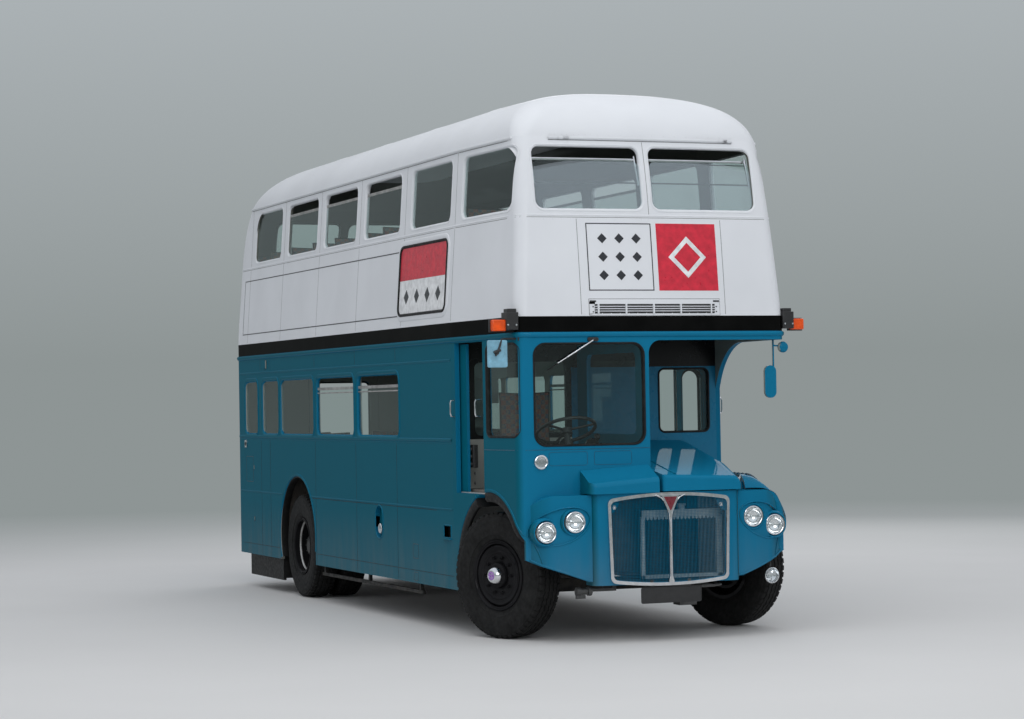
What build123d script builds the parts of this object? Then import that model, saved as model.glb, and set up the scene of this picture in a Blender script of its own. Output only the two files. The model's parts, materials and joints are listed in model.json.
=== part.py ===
from build123d import *
import os
from math import atan2, cos, degrees, sin

# Half-cab double-deck bus, in millimetres.
# +Z is up, the front faces -Y, +X is the nearside (the bus's left).
# The origin is on the ground, at the middle of the length and width.

os.makedirs("parts", exist_ok=True)

# Overall sizes
LENGTH = 8382
WIDTH = 2438
HEIGHT = 4377
WHEELBASE = 5131
FRONT_OVERHANG = 970
AXLE_Y = FRONT_OVERHANG - LENGTH / 2
REAR_SPARE = 12
HALF = WIDTH / 2
OUTREACH = HALF + 174

# Clearances
SEAT_GAP = 0.3
MOVE_GAP = 6
RUNNING_FIT = 0.05

# Levels above the ground
SKIRT_Z = 350
CANOPY_Z = 2337
BAND_LOW = 2406
BAND_HIGH = 2528
SEAM_Z = 3300
SHOULDER_Z = 3600
GUTTER_Z = 3947
SILL_Z = 1142
FLOOR_Z = 660
FLOOR_T = 50
FLOOR_LOW = FLOOR_Z - FLOOR_T

# Body shell
WALL = 40
FRONT_HALF = HALF - 64
FRONT_BOW = 30
REAR_BOW = 72
BIG = 6000


def back(station):
    """Y of a station measured rearward from the front axle."""
    return AXLE_Y + station


BODY_FRONT = back(-745)
BODY_REAR = LENGTH / 2 - REAR_SPARE
TAIL = BODY_REAR - AXLE_Y
TAPER_END = back(600)
LOWER_CORNER = 80
REAR_CORNER = 220
BULKHEAD = back(620)
BULKHEAD_T = 35
SIDE_START = back(525)
REAR_SPLIT = back(TAIL - 340)

# Windows: start and end station along the side
LOWER_SILL = 1591
LOWER_HEAD = 2137
LOWER_DROPPED_HEAD = 2030
LOWER_BAYS = [(1949, 3124), (3219, 4382), (4482, 5612), (5681, 6272), (6446, 6923)]
UPPER_SILL = 3365
UPPER_HEAD = 3870
UPPER_BAYS = [(-510, 480), (720, 1725), (2005, 3020), (3250, 4260), (4475, 5480), (5700, 6650)]
DROPPED_BAYS = (2, 3, 4)
DROPPED_HEAD = 3758
WINDOW_R = 70
PANE_R = 50
GLASS_T = 6
GLASS_IN = 14

# Wheels
TYRE_R = 502
TYRE_HALF = 125
HUB_Z = TYRE_R
KINGPIN_X = HALF - 349
WHEEL_OUT = 150
REAR_OUTER = HALF - 174
REAR_INNER = REAR_OUTER - 290
REAR_Y = AXLE_Y + WHEELBASE
STEER_REST = 22


def box(x0, x1, y0, y1, z0, z1):
    """Block between two corners."""
    return Pos((x0 + x1) / 2, (y0 + y1) / 2, (z0 + z1) / 2) * Box(abs(x1 - x0), abs(y1 - y0), abs(z1 - z0))


def window_x(y0, y1, z0, z1, radius, x0, x1):
    """Round-cornered prism along X."""
    outline = Pos((y0 + y1) / 2, (z0 + z1) / 2) * RectangleRounded(y1 - y0, z1 - z0, radius)
    return extrude(Plane.YZ.offset(x0) * outline, x1 - x0)


def window_y(x0, x1, z0, z1, radius, y0, y1):
    """Round-cornered prism along Y."""
    outline = Pos((x0 + x1) / 2, (z0 + z1) / 2) * RectangleRounded(x1 - x0, z1 - z0, radius)
    return extrude(Plane.XZ.offset(-y0) * outline, -(y1 - y0))


def shrunk(window, gap):
    """Window's four limits pulled in all round."""
    return window[0] + gap, window[1] - gap, window[2] + gap, window[3] - gap


def rod_x(radius, x0, x1, y, z):
    return Pos((x0 + x1) / 2, y, z) * Rot(0, 90, 0) * Cylinder(radius, abs(x1 - x0))


def rod_y(radius, x, y0, y1, z):
    return Pos(x, (y0 + y1) / 2, z) * Rot(90, 0, 0) * Cylinder(radius, abs(y1 - y0))


def rod_z(radius, x, y, z0, z1):
    return Pos(x, y, (z0 + z1) / 2) * Cylinder(radius, abs(z1 - z0))


def plan(half, front_half, front, rear, front_corner, rear_corner, inset=0):
    """Outline of the body seen from above, bowed at both ends."""
    side = half - inset
    front_side = front_half - inset
    nose = front + inset
    tail = rear - inset
    outline = Line((front_side, nose + FRONT_BOW), (side, TAPER_END))
    outline += Line((side, TAPER_END), (side, tail - REAR_BOW))
    outline += ThreePointArc((side, tail - REAR_BOW), (0, tail), (-side, tail - REAR_BOW))
    outline += Line((-side, tail - REAR_BOW), (-side, TAPER_END))
    outline += Line((-side, TAPER_END), (-front_side, nose + FRONT_BOW))
    outline += ThreePointArc((-front_side, nose + FRONT_BOW), (0, nose), (front_side, nose + FRONT_BOW))
    face = make_face(outline)
    face = fillet(face.vertices().sort_by(Axis.Y)[:2], front_corner - inset)
    return fillet(face.vertices().sort_by(Axis.Y)[-2:], rear_corner - inset)


def lower_form(inset, z0, z1):
    """Solid filling the lower deck's plan between two levels."""
    face = plan(HALF, FRONT_HALF, BODY_FRONT, BODY_REAR, LOWER_CORNER, REAR_CORNER, inset)
    return extrude(Pos(0, 0, z0) * face, z1 - z0)


# Upper deck sections: level, inward lean, front station, rear station, front corner, rear corner
UPPER_SECTIONS = [
    (BAND_HIGH, 0, -745, TAIL, 100, 220),
    (2800, 17, -722, TAIL, 100, 220),
    (SEAM_Z, 53, -666, TAIL - 12, 100, 225),
    (SHOULDER_Z, 74, -618, TAIL - 52, 105, 235),
    (3800, 88, -574, TAIL - 142, 115, 250),
    (GUTTER_Z, 98, -535, TAIL - 270, 130, 270),
]

# Roof sections in the same columns, from the gutter up
ROOF_SECTIONS = [
    (GUTTER_Z, 98, -535, TAIL - 270, 130, 270),
    (HEIGHT - 297, 149, -490, TAIL - 440, 180, 330),
    (HEIGHT - 177, 269, -390, TAIL - 700, 200, 380),
    (HEIGHT - 77, 499, -210, TAIL - 1070, 200, 380),
    (HEIGHT - 22, 789, 0, TAIL - 1450, 180, 300),
    (HEIGHT, 1069, 250, TAIL - 1900, 80, 110),
]


def stack(sections, inset):
    """Loft through plan outlines at their levels, pulled in and, above the gutter, down."""
    faces = []
    for level, lean, front, rear, corner, rear_corner in sections:
        lowered = level - (inset if level > GUTTER_Z else 0)
        outline = plan(HALF - lean, FRONT_HALF - lean, back(front), back(rear), corner, rear_corner, inset)
        faces.append(Pos(0, 0, lowered) * outline)
    return loft(faces)


def upper_form(inset):
    return stack(UPPER_SECTIONS, inset)


def roof_form(inset):
    return stack(ROOF_SECTIONS, inset)


nodes = {}


def several(solids):
    """One node of solids that don't touch."""
    return Compound(children=[part for item in solids for part in item.solids()])


# Lower deck shell, cut into its panels
lower_shell = lower_form(0, SKIRT_Z, BAND_LOW) - lower_form(WALL, SKIRT_Z, BAND_LOW)

# Wheel arches: centre station, centre level, radius
FRONT_ARCH = (-130, 520, 645)
REAR_ARCH = (5065, 593, 597)


def arch_cut(arch, side, depth):
    """Arch opening through one side, open at the bottom."""
    station, level, radius = arch
    x0, x1 = sorted((side * (HALF + 60), side * (HALF - depth)))
    cut = rod_x(radius, x0, x1, back(station), level)
    return cut + box(x0, x1, back(station - radius), back(station + radius), 0, level)


def bay_holes(bays, sill, head, x0, x1, inset=0, heads=None):
    """One prism for each window of a side."""
    prisms = []
    for number, (start, end) in enumerate(bays):
        top = heads[number] if heads else head
        prisms.append(window_x(back(start) + inset, back(end) - inset, sill + inset, top - inset,
                               WINDOW_R - inset, x0, x1))
    return prisms


FOOT_HOLE = (660, 835, 765, 870)
FILLER = (2420, 2630, 685, 980)
DOORWAY_LENGTH = 1180
DOORWAY = (720, 720 + DOORWAY_LENGTH)
DOORWAY_TOP = 2300
STEP_Z = 400
STEP_X = HALF - 419


def lower_side(side):
    """Side panel behind the cab, -1 offside, 1 nearside."""
    x0, x1 = sorted((side * (HALF + 60), side * (HALF - 60)))
    start = SIDE_START if side < 0 else BULKHEAD
    panel = lower_shell & box(x0, x1, start, REAR_SPLIT, SKIRT_Z, BAND_LOW)
    for hole in bay_holes(LOWER_BAYS, LOWER_SILL, LOWER_HEAD, x0, x1):
        panel -= hole
    panel -= arch_cut(REAR_ARCH, side, 60)
    if side < 0:
        panel -= arch_cut(FRONT_ARCH, side, 60)
        panel -= box(x0, x1, back(FOOT_HOLE[0]), back(FOOT_HOLE[1]), FOOT_HOLE[2], FOOT_HOLE[3])
        start_y, end_y, low, high = FILLER
        panel -= window_x(back(start_y), back(end_y), low, high, 100, x0, x1)
    else:
        panel -= box(x0, x1, back(DOORWAY[0]), back(DOORWAY[1]), 0, DOORWAY_TOP)
        panel += box(HALF - WALL - 75, HALF - WALL, back(DOORWAY[0]), back(DOORWAY[1]), DOORWAY_TOP, 2345)
    return panel


nodes["lower_side_right"] = lower_side(-1)
nodes["lower_side_left"] = lower_side(1)

# Rear panel of the lower deck, with its emergency door
DOOR_HALF = 390
REAR_DOOR_Z = (700, 2260)
REAR_PANE = (-300, 300, 1500, 2130)
HINGE_R = 9
REAR_HINGE_X = -DOOR_HALF - 8
REAR_HINGE_Y = BODY_REAR + REAR_SPARE - HINGE_R
REAR_HINGES = (950, 1960)
HINGE_LENGTH = 80


def rear_hinge(level, upper):
    """Half of a barrel hinge: the lower half on the body, the upper half on the door."""
    half_length = HINGE_LENGTH / 2
    z0 = level + (half_length + SEAT_GAP if upper else 0)
    z1 = z0 + half_length - SEAT_GAP
    barrel = rod_z(HINGE_R, REAR_HINGE_X, REAR_HINGE_Y, z0, z1)
    if upper:
        return barrel + box(REAR_HINGE_X, REAR_HINGE_X + 50, REAR_HINGE_Y - 9.8, REAR_HINGE_Y - 1, z0, z1)
    return barrel + box(REAR_HINGE_X - 50, REAR_HINGE_X, REAR_HINGE_Y - 16, REAR_HINGE_Y - 1, z0, z1)


rear_panel = lower_shell & box(-BIG, BIG, REAR_SPLIT, BIG, SKIRT_Z, BAND_LOW)
door_hole = box(-DOOR_HALF - MOVE_GAP, DOOR_HALF + MOVE_GAP, REAR_SPLIT, BIG,
                REAR_DOOR_Z[0] - MOVE_GAP, REAR_DOOR_Z[1] + MOVE_GAP)
door_box = box(-DOOR_HALF, DOOR_HALF, BODY_REAR - 2 * WALL, BIG, REAR_DOOR_Z[0], REAR_DOOR_Z[1])
rear_door = (rear_panel & door_box) - window_y(*REAR_PANE, 60, REAR_SPLIT, BODY_REAR + 50)
lower_rear = rear_panel - door_hole - box(-130, 130, REAR_SPLIT, BIG, SKIRT_Z, 620)
for hinge_level in REAR_HINGES:
    lower_rear += rear_hinge(hinge_level, False)
    rear_door += rear_hinge(hinge_level, True)
nodes["lower_rear"] = lower_rear
nodes["rear_door"] = rear_door

# Lower floor, with boxes over the rear wheels and a step at the entrance
WHEEL_BOX_X = HALF - 619
WHEEL_BOX_TOP = 1215
WHEEL_BOX_WALL = 20
WHEEL_BOX_Y = (4440, 5700)


def wheel_box(side, inset):
    """Cover over one pair of rear wheels."""
    x0, x1 = sorted((side * (WHEEL_BOX_X + inset), side * (HALF - WALL)))
    y0, y1 = back(WHEEL_BOX_Y[0]) + inset, back(WHEEL_BOX_Y[1]) - inset
    return box(x0, x1, y0, y1, FLOOR_LOW, WHEEL_BOX_TOP - inset)


floor = lower_form(WALL, FLOOR_LOW, FLOOR_Z) & box(-BIG, BIG, back(600), BIG, 0, BIG)
floor -= box(-BIG, -(HALF - WALL - 50), back(0), back(1150), 0, BIG)
for side in (-1, 1):
    floor += wheel_box(side, 0)
    floor -= wheel_box(side, WHEEL_BOX_WALL)
floor -= box(STEP_X, HALF - WALL, back(DOORWAY[0]), back(DOORWAY[1]), FLOOR_LOW, FLOOR_Z)
step = box(STEP_X, HALF, back(DOORWAY[0]), back(DOORWAY[1]), STEP_Z - 30, STEP_Z)
riser = box(STEP_X - 20, STEP_X, back(DOORWAY[0]), back(DOORWAY[1]), STEP_Z - 30, FLOOR_LOW)
nodes["lower_floor"] = floor + step + riser

# Bulkhead behind cab and bonnet, with the liner and track of the sliding cab door
CAB_DOOR_T = 24
CAB_DOOR_X = (WALL + 13 - HALF, WALL + 13 + CAB_DOOR_T - HALF)
CAB_DOOR_OPEN = 391
CAB_DOOR_CLOSED = -34
CAB_DOOR_LENGTH = 600
CAB_DOOR_TOP = 2345
CAB_DOOR_WINDOW = (1610, 2260)
TRACK_TOP = 1150
LINER_X = (CAB_DOOR_X[1] + 12, CAB_DOOR_X[1] + 27)
BULKHEAD_PANE = (HALF - 569, HALF - 109, 1599, 2130)
CAB_BACK_PANE = (209 - HALF, -200, 1600, 2200)
bulkhead = box(LINER_X[0], HALF - WALL, BULKHEAD, BULKHEAD + BULKHEAD_T, FLOOR_Z, BAND_LOW)
for pane in (BULKHEAD_PANE, CAB_BACK_PANE):
    bulkhead -= window_y(*pane, PANE_R, BULKHEAD - 50, BULKHEAD + 100)
bulkhead += box(LINER_X[0], LINER_X[1], BULKHEAD, back(1150), FLOOR_Z, BAND_LOW)
bulkhead += box(CAB_DOOR_X[0] - 6, LINER_X[0], back(CAB_DOOR_CLOSED - 5), back(1150), SILL_Z, TRACK_TOP)
nodes["front_bulkhead"] = bulkhead

# Cab shell: front, offside and nearside walls and the canopy edge over the bonnet
CAB_WALL_X = (-95, -60)
DOOR_OPENING = (CAB_DOOR_CLOSED - MOVE_GAP, 525, SILL_Z, 2356)
CANOPY_R = 100
GUSSET_LOW = 1960
GUSSET_FRONT = back(0)
WINDSCREEN = (199 - HALF, -104, 1529, 2314)
WINDSCREEN_R = 90
CAB_SIDE_WINDOW = (-690, -118, 1600, 2320)
CAB_SIDE_R = 55
CAB_INNER_WINDOW = (-560, 420, 1600, 2250)
CAB_INNER_R = 60


def windscreen_hole(gap=0):
    return window_y(*shrunk(WINDSCREEN, gap), WINDSCREEN_R - gap, BODY_FRONT - 60, BODY_FRONT + 130)


def cab_side_hole(gap=0):
    start, end, low, high = shrunk(CAB_SIDE_WINDOW, gap)
    return window_x(back(start), back(end), low, high, CAB_SIDE_R - gap, -HALF - 60, -HALF + 160)


def cab_inner_hole(x0, x1, gap=0):
    start, end, low, high = shrunk(CAB_INNER_WINDOW, gap)
    return window_x(back(start), back(end), low, high, CAB_INNER_R - gap, x0, x1)


cab = lower_shell & box(-BIG, CAB_WALL_X[1], -BIG, SIDE_START, SILL_Z, BAND_LOW)
cab += lower_shell & box(CAB_WALL_X[0], BIG, -BIG, BULKHEAD, CANOPY_Z, BAND_LOW)
gusset = Line((BULKHEAD, BAND_LOW), (BULKHEAD, GUSSET_LOW))
gusset += ThreePointArc((BULKHEAD, GUSSET_LOW), (back(430), 2215), (GUSSET_FRONT, CANOPY_Z))
gusset += Line((GUSSET_FRONT, CANOPY_Z), (GUSSET_FRONT, BAND_LOW))
gusset += Line((GUSSET_FRONT, BAND_LOW), (BULKHEAD, BAND_LOW))
cab += lower_shell & extrude(Plane.YZ.offset(HALF - 200) * make_face(gusset), 300)
corner_x = CAB_WALL_X[1] + CANOPY_R
canopy_corner = box(CAB_WALL_X[0], corner_x, BODY_FRONT - 60, BODY_FRONT + 100, CANOPY_Z - CANOPY_R, BAND_LOW)
canopy_corner -= rod_y(CANOPY_R, corner_x, BODY_FRONT - 70, BODY_FRONT + 110, CANOPY_Z - CANOPY_R)
cab += lower_shell & canopy_corner
cab_wall = box(CAB_WALL_X[0], CAB_WALL_X[1], BODY_FRONT + 15, BULKHEAD, SILL_Z, BAND_LOW)
cab_wall -= cab_inner_hole(CAB_WALL_X[0] - 20, CAB_WALL_X[1] + 20)
cab += cab_wall
cab -= windscreen_hole()
cab -= cab_side_hole()
cab -= box(-HALF - 60, -HALF + 160, back(DOOR_OPENING[0]), back(DOOR_OPENING[1]), *DOOR_OPENING[2:])
cab -= arch_cut(FRONT_ARCH, -1, 110)
nodes["cab_shell"] = cab

CAB_FLOOR_T = 28
cab_floor = lower_form(WALL, SILL_Z, SILL_Z + CAB_FLOOR_T)
cab_floor &= box(99 - HALF, CAB_WALL_X[0], -BIG, BULKHEAD, 0, BIG)
nodes["cab_floor"] = cab_floor

# Sliding cab door
cab_door = box(*CAB_DOOR_X, back(CAB_DOOR_OPEN), back(CAB_DOOR_OPEN + CAB_DOOR_LENGTH),
               TRACK_TOP + SEAT_GAP, CAB_DOOR_TOP)
cab_door -= window_x(back(CAB_DOOR_OPEN + 170), back(CAB_DOOR_OPEN + 570), *CAB_DOOR_WINDOW, PANE_R,
                     -HALF, -HALF + 120)
nodes["cab_door"] = cab_door

# Deck floor; its edge is the dark band around the body
STAIR_FOOT = 2330
STEPS = 9
TREAD = 195
STAIRWELL = (LINER_X[0], -560, STAIR_FOOT - (STEPS - 1) * TREAD, 2080)
deck = lower_form(0, BAND_LOW, BAND_HIGH)
deck -= box(STAIRWELL[0], STAIRWELL[1], back(STAIRWELL[2]), back(STAIRWELL[3]), 0, BIG)
nodes["deck_floor"] = deck

# Upper deck
UPPER_FRONT_SPLIT = back(-440)
UPPER_REAR_SPLIT = back(TAIL - 500)
FRONT_PANES = ((272 - HALF, -39), (39, HALF - 272))
REAR_UPPER_PANES = ((-760, -40), (40, 760))
REAR_UPPER_HEAD = 3830
upper_shell = upper_form(0) - upper_form(WALL)


def upper_holes(inset=0):
    """Prisms of the upper windows on both sides and at both ends."""
    heads = [DROPPED_HEAD if number in DROPPED_BAYS else UPPER_HEAD for number in range(len(UPPER_BAYS))]
    holes = []
    for x0, x1 in ((-HALF - 60, -HALF + 260), (HALF - 260, HALF + 60)):
        holes += bay_holes(UPPER_BAYS, UPPER_SILL, UPPER_HEAD, x0, x1, inset, heads if inset else None)
    front_head = DROPPED_HEAD if inset else UPPER_HEAD
    for x0, x1 in FRONT_PANES:
        holes.append(window_y(x0 + inset, x1 - inset, UPPER_SILL + inset, front_head - inset,
                              WINDOW_R - inset, back(-800), back(-420)))
    for x0, x1 in REAR_UPPER_PANES:
        holes.append(window_y(x0 + inset, x1 - inset, UPPER_SILL + inset, REAR_UPPER_HEAD - inset,
                              WINDOW_R - inset, back(TAIL - 400), back(TAIL + 100)))
    return holes


for upper_hole in upper_holes():
    upper_shell -= upper_hole
nodes["upper_front"] = upper_shell & box(-BIG, BIG, -BIG, UPPER_FRONT_SPLIT, 0, BIG)
nodes["upper_rear"] = upper_shell & box(-BIG, BIG, UPPER_REAR_SPLIT, BIG, 0, BIG)
upper_middle = upper_shell & box(-BIG, BIG, UPPER_FRONT_SPLIT, UPPER_REAR_SPLIT, 0, BIG)
nodes["upper_side_right"] = upper_middle & box(-BIG, 0, -BIG, BIG, 0, BIG)
nodes["upper_side_left"] = upper_middle & box(0, BIG, -BIG, BIG, 0, BIG)
nodes["roof"] = roof_form(0) - roof_form(WALL)

# Window glass
lower_pane = lower_form(GLASS_IN, SKIRT_Z, BAND_LOW) - lower_form(GLASS_IN + GLASS_T, SKIRT_Z, BAND_LOW)
upper_pane = upper_form(GLASS_IN) - upper_form(GLASS_IN + GLASS_T)
lower_heads = [LOWER_DROPPED_HEAD] * 2 + [LOWER_HEAD] * 3
panes = []
for x0, x1 in ((-HALF - 60, -HALF + 60), (HALF - 60, HALF + 60)):
    for hole in bay_holes(LOWER_BAYS, LOWER_SILL, LOWER_HEAD, x0, x1, SEAT_GAP, lower_heads):
        panes.append(lower_pane & hole)
nodes["lower_glass"] = several(panes)
nodes["upper_glass"] = several([upper_pane & hole for hole in upper_holes(SEAT_GAP)])
cab_panes = [lower_pane & windscreen_hole(SEAT_GAP), lower_pane & cab_side_hole(SEAT_GAP)]
cab_panes.append(cab_inner_hole(CAB_WALL_X[0] + GLASS_IN, CAB_WALL_X[0] + GLASS_IN + GLASS_T, SEAT_GAP))
for pane in (BULKHEAD_PANE, CAB_BACK_PANE):
    cab_panes.append(window_y(*shrunk(pane, SEAT_GAP), PANE_R - SEAT_GAP,
                              BULKHEAD + GLASS_IN, BULKHEAD + GLASS_IN + GLASS_T))
nodes["cab_glass"] = several(cab_panes)

# Front wings: a side wall round the arch and a bulged front that carries the lamps
COWL_HALF = 624
WING_TOP = SILL_Z
WING_T = 25
# Headlamps: distance from the centre line, level, station of the rim
LAMPS = ((HALF - 458, 938, -868), (HALF - 241, 863, -812))
LAMP_R = 78
LAMP_TILT = 19
EYE_DEPTH = 9
EYE_Z = 906
EYE_SIZE = (236, 132)


def wing_crown(inset):
    """The wing's outline seen from in front: flat on top, falling away to the side."""
    crown = Line((0, 0), (0, WING_TOP - inset))
    crown += Line((0, WING_TOP - inset), (HALF - 480, WING_TOP - inset))
    crown += ThreePointArc((HALF - 480, WING_TOP - inset), (HALF - 175, 1086 - inset), (HALF - 32 - inset, 880))
    crown += Line((HALF - 32 - inset, 880), (HALF - 32 - inset, 0))
    crown += Line((HALF - 32 - inset, 0), (0, 0))
    return make_face(crown)


def wing_shoulder(inset):
    """The nearside wing's outline over the wheel, square enough to clear the tyre."""
    outline = Rectangle(2 * (HALF - inset), 2 * (WING_TOP - inset))
    return fillet(outline.vertices().sort_by(Axis.Y)[-2:], 150 - inset)


def wing_form(inset, rounded=False):
    """Solid inside the wing's skin on the nearside."""
    body = lower_form(inset, 0, WING_TOP - inset) & box(COWL_HALF, BIG, -BIG, back(611), 0, BIG)
    if rounded:
        body &= extrude(Plane.XZ.offset(-back(-1000)) * wing_shoulder(inset), -2000)
    bulge = Line((COWL_HALF, back(0)), (COWL_HALF, back(-878) + inset))
    bulge += ThreePointArc((COWL_HALF, back(-878) + inset), (HALF - 259 - inset / 2, back(-806) + inset),
                           (HALF - 64 - inset, back(-600)))
    bulge += Line((HALF - 64 - inset, back(-600)), (HALF - 64 - inset, back(0)))
    bulge += Line((HALF - 64 - inset, back(0)), (COWL_HALF, back(0)))
    nose = extrude(make_face(bulge), WING_TOP)
    nose &= extrude(Plane.XZ.offset(-back(-1000)) * wing_crown(inset), -1000)
    return body + nose


def wing(rounded):
    skin = wing_form(0, rounded)
    lamp_eye = Pos((LAMPS[0][0] + LAMPS[1][0]) / 2, EYE_Z) * Rot(0, 0, -LAMP_TILT) * Ellipse(*EYE_SIZE)
    skin -= extrude(Plane.XZ.offset(-back(-1000)) * lamp_eye, -330) - wing_form(EYE_DEPTH)
    skin -= wing_form(WING_T, rounded)
    lower_edge = make_face(Polyline((500, -100), (500, 455), (660, 478), (HALF - 219, 600), (HALF + 81, 740),
                                    (HALF + 81, -100), close=True))
    skin -= extrude(Plane.XZ.offset(-back(-1100)) * lower_edge, -720)
    skin -= box(0, BIG, -BIG, BIG, -10, SKIRT_Z)
    skin -= arch_cut(FRONT_ARCH, 1, 110)
    for x, z, _ in LAMPS:
        skin -= rod_y(LAMP_R, x, back(-950), back(-740), z)
    return skin


def louvre_slope(y, x0, x1, top):
    """Section of the sloping panel beside the bonnet."""
    low = WING_TOP - 5
    return Plane.XZ.offset(-y) * make_face(Polyline((x0, low), (x0, top), (x1, low), close=True))


louvre_ends = (louvre_slope(back(-620), 790, 1000, 1222), louvre_slope(back(200), 985, 1110, 1232))
louvre_panel = loft(louvre_ends, ruled=True)
nodes["wing_left"] = wing(True) + louvre_panel
nodes["wing_right"] = mirror(wing(False), Plane.YZ) & box(-BIG, BIG, -BIG, SIDE_START, 0, BIG)


LAMP_DOME = 28
LAMP_DEPTH = 60


def lamp(x, z, front):
    """Round headlamp with a domed lens."""
    radius = LAMP_R - SEAT_GAP
    dome_r = (radius ** 2 + LAMP_DOME ** 2) / (2 * LAMP_DOME)
    can = rod_y(radius, 0, -LAMP_DOME, LAMP_DEPTH, 0)
    return Pos(x, back(front), z) * (can & (Pos(0, dome_r - LAMP_DOME, 0) * Sphere(dome_r)))


lamps = []
for side in (-1, 1):
    for x, z, front in LAMPS:
        lamps.append(lamp(side * x, z, front))
nodes["headlamps"] = several(lamps)

# Grille surround, offside brow and the bright grille
COWL_TOP = 1150
COWL_LOW = 445
COWL_T = 20
BOW_R = 7000
GRILLE_FRONT = -LENGTH / 2
BROW_LOW = COWL_TOP
BROW_SEAM = -84
BONNET_X0 = -50
BONNET_LOW = COWL_TOP + MOVE_GAP + 2


def sag(x):
    """How far the bowed grille face lies behind its middle at a distance x from it."""
    return BOW_R - (BOW_R ** 2 - x ** 2) ** 0.5


def cowl_form(inset):
    front = back(-948) + inset
    side = COWL_HALF - inset
    corner = front + sag(side)
    outline = Line((-side, back(-700)), (-side, corner))
    outline += ThreePointArc((-side, corner), (0, front), (side, corner))
    outline += Line((side, corner), (side, back(-700)))
    outline += Line((side, back(-700)), (-side, back(-700)))
    face = make_face(outline)
    return fillet(face.vertices().sort_by(Axis.Y)[:2], 70 - inset)


def grille_outline(inset):
    """Arched trapezium of the grille opening."""
    outline = ThreePointArc((-520 + inset, 1108 - inset), (0, 1150 - inset), (520 - inset, 1108 - inset))
    outline += Line((520 - inset, 1108 - inset), (502 - inset, 462 + inset))
    outline += ThreePointArc((502 - inset, 462 + inset), (0, 430 + inset), (-502 + inset, 462 + inset))
    outline += Line((-502 + inset, 462 + inset), (-520 + inset, 1108 - inset))
    face = make_face(outline)
    return fillet(face.vertices(), 50 - inset / 2)


FRAME_W = 24
cowl_faces = cowl_form(0)
cowl = extrude(Pos(0, 0, COWL_LOW) * cowl_faces, COWL_TOP - COWL_LOW)
cowl -= extrude(Pos(0, 0, COWL_LOW) * cowl_form(COWL_T), COWL_TOP - COWL_LOW)
cowl -= extrude(Plane.XZ.offset(-back(-1000)) * grille_outline(FRAME_W - 6), -200)
cowl &= box(-BIG, BIG, -BIG, back(-745), 0, BIG)


def bow_slab(front, depth):
    """Curved slab that follows the bow of the grille."""
    edge = front + sag(700)
    outer = ThreePointArc((-700, edge), (0, front), (700, edge))
    outer += Line((700, edge), (700, edge + depth))
    outer += ThreePointArc((700, edge + depth), (0, front + depth), (-700, edge + depth))
    outer += Line((-700, edge + depth), (-700, edge))
    return extrude(make_face(outer), 1400)


def front_prism(face):
    return extrude(Plane.XZ.offset(-back(-1100)) * face, -400)


frame = front_prism(grille_outline(0)) - front_prism(grille_outline(FRAME_W))
frame = frame & bow_slab(GRILLE_FRONT, 21.7)
centre_strip = box(-11, 11, GRILLE_FRONT - 10, GRILLE_FRONT + 200, 440, 1140) & bow_slab(GRILLE_FRONT, 21.7)
nodes["grille"] = frame + centre_strip
MESH_PITCH = 12
MESH_WIRE = 2
mesh_edge = front_prism(grille_outline(FRAME_W - 5))
wires = mesh_edge - front_prism(grille_outline(FRAME_W + 3))
for number in range(-42, 43):
    x = number * MESH_PITCH
    wire = box(x - MESH_WIRE / 2, x + MESH_WIRE / 2, GRILLE_FRONT - 10, GRILLE_FRONT + 200, 400, 1200)
    wires += wire & mesh_edge
nodes["grille_mesh"] = wires & bow_slab(GRILLE_FRONT + 22, 4)


def brow_section(x, low_front, front, rear):
    """Side outline of the brow at one place across the bus."""
    outline = Line((back(-745), BROW_LOW), (back(-960), BROW_LOW))
    outline += Line((back(-960), BROW_LOW), (back(-960), low_front))
    outline += ThreePointArc((back(-960), low_front), (back(-946), low_front + 30), (back(-915), front))
    outline += Line((back(-915), front), (back(-745), rear))
    outline += Line((back(-745), rear), (back(-745), BROW_LOW))
    return Plane.YZ.offset(x) * make_face(outline)


brow = loft([brow_section(-660, 1196, 1240, 1328), brow_section(BROW_SEAM, 1236, 1283, 1366)], ruled=True)
brow = fillet(brow.edges().filter_by(Axis.Z).sort_by(Axis.X)[:1], 60)
nodes["radiator_cowl"] = cowl + brow

# Bonnet: hinged beside the cab, lifted from the nearside
BONNET_FRONT = back(-960)
BONNET_REAR = BULKHEAD - MOVE_GAP - 2
BONNET_T = 18
# Bonnet sections: y, width, top, shoulder radius
BONNET_SECTIONS = ((BONNET_FRONT, 618, 1285, 80), (back(-300), 860, 1395, 170), (BONNET_REAR, 1000, 1548, 200))
BONNET_FALL = 22


def bonnet_section(y, width, top, shoulder, inset):
    """Cross-section of the bonnet at one station."""
    left = BONNET_X0 + inset
    right = width - inset
    crown = top - inset
    edge = crown - BONNET_FALL
    radius = shoulder - inset / 2
    outline = Line((left, BONNET_LOW), (left, crown))
    outline += Line((left, crown), (right - radius, edge))
    outline += ThreePointArc((right - radius, edge), (right - radius * 0.293, edge - radius * 0.293 + 4),
                             (right, edge - radius))
    outline += Line((right, edge - radius), (right, BONNET_LOW))
    outline += Line((right, BONNET_LOW), (left, BONNET_LOW))
    return Plane.XZ.offset(-y) * make_face(outline)


def bonnet_form(inset, shifts):
    faces = []
    for (y, width, top, shoulder), shift in zip(BONNET_SECTIONS, shifts):
        faces.append(bonnet_section(y + shift, width, top, shoulder, inset))
    return loft(faces, ruled=True)


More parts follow.
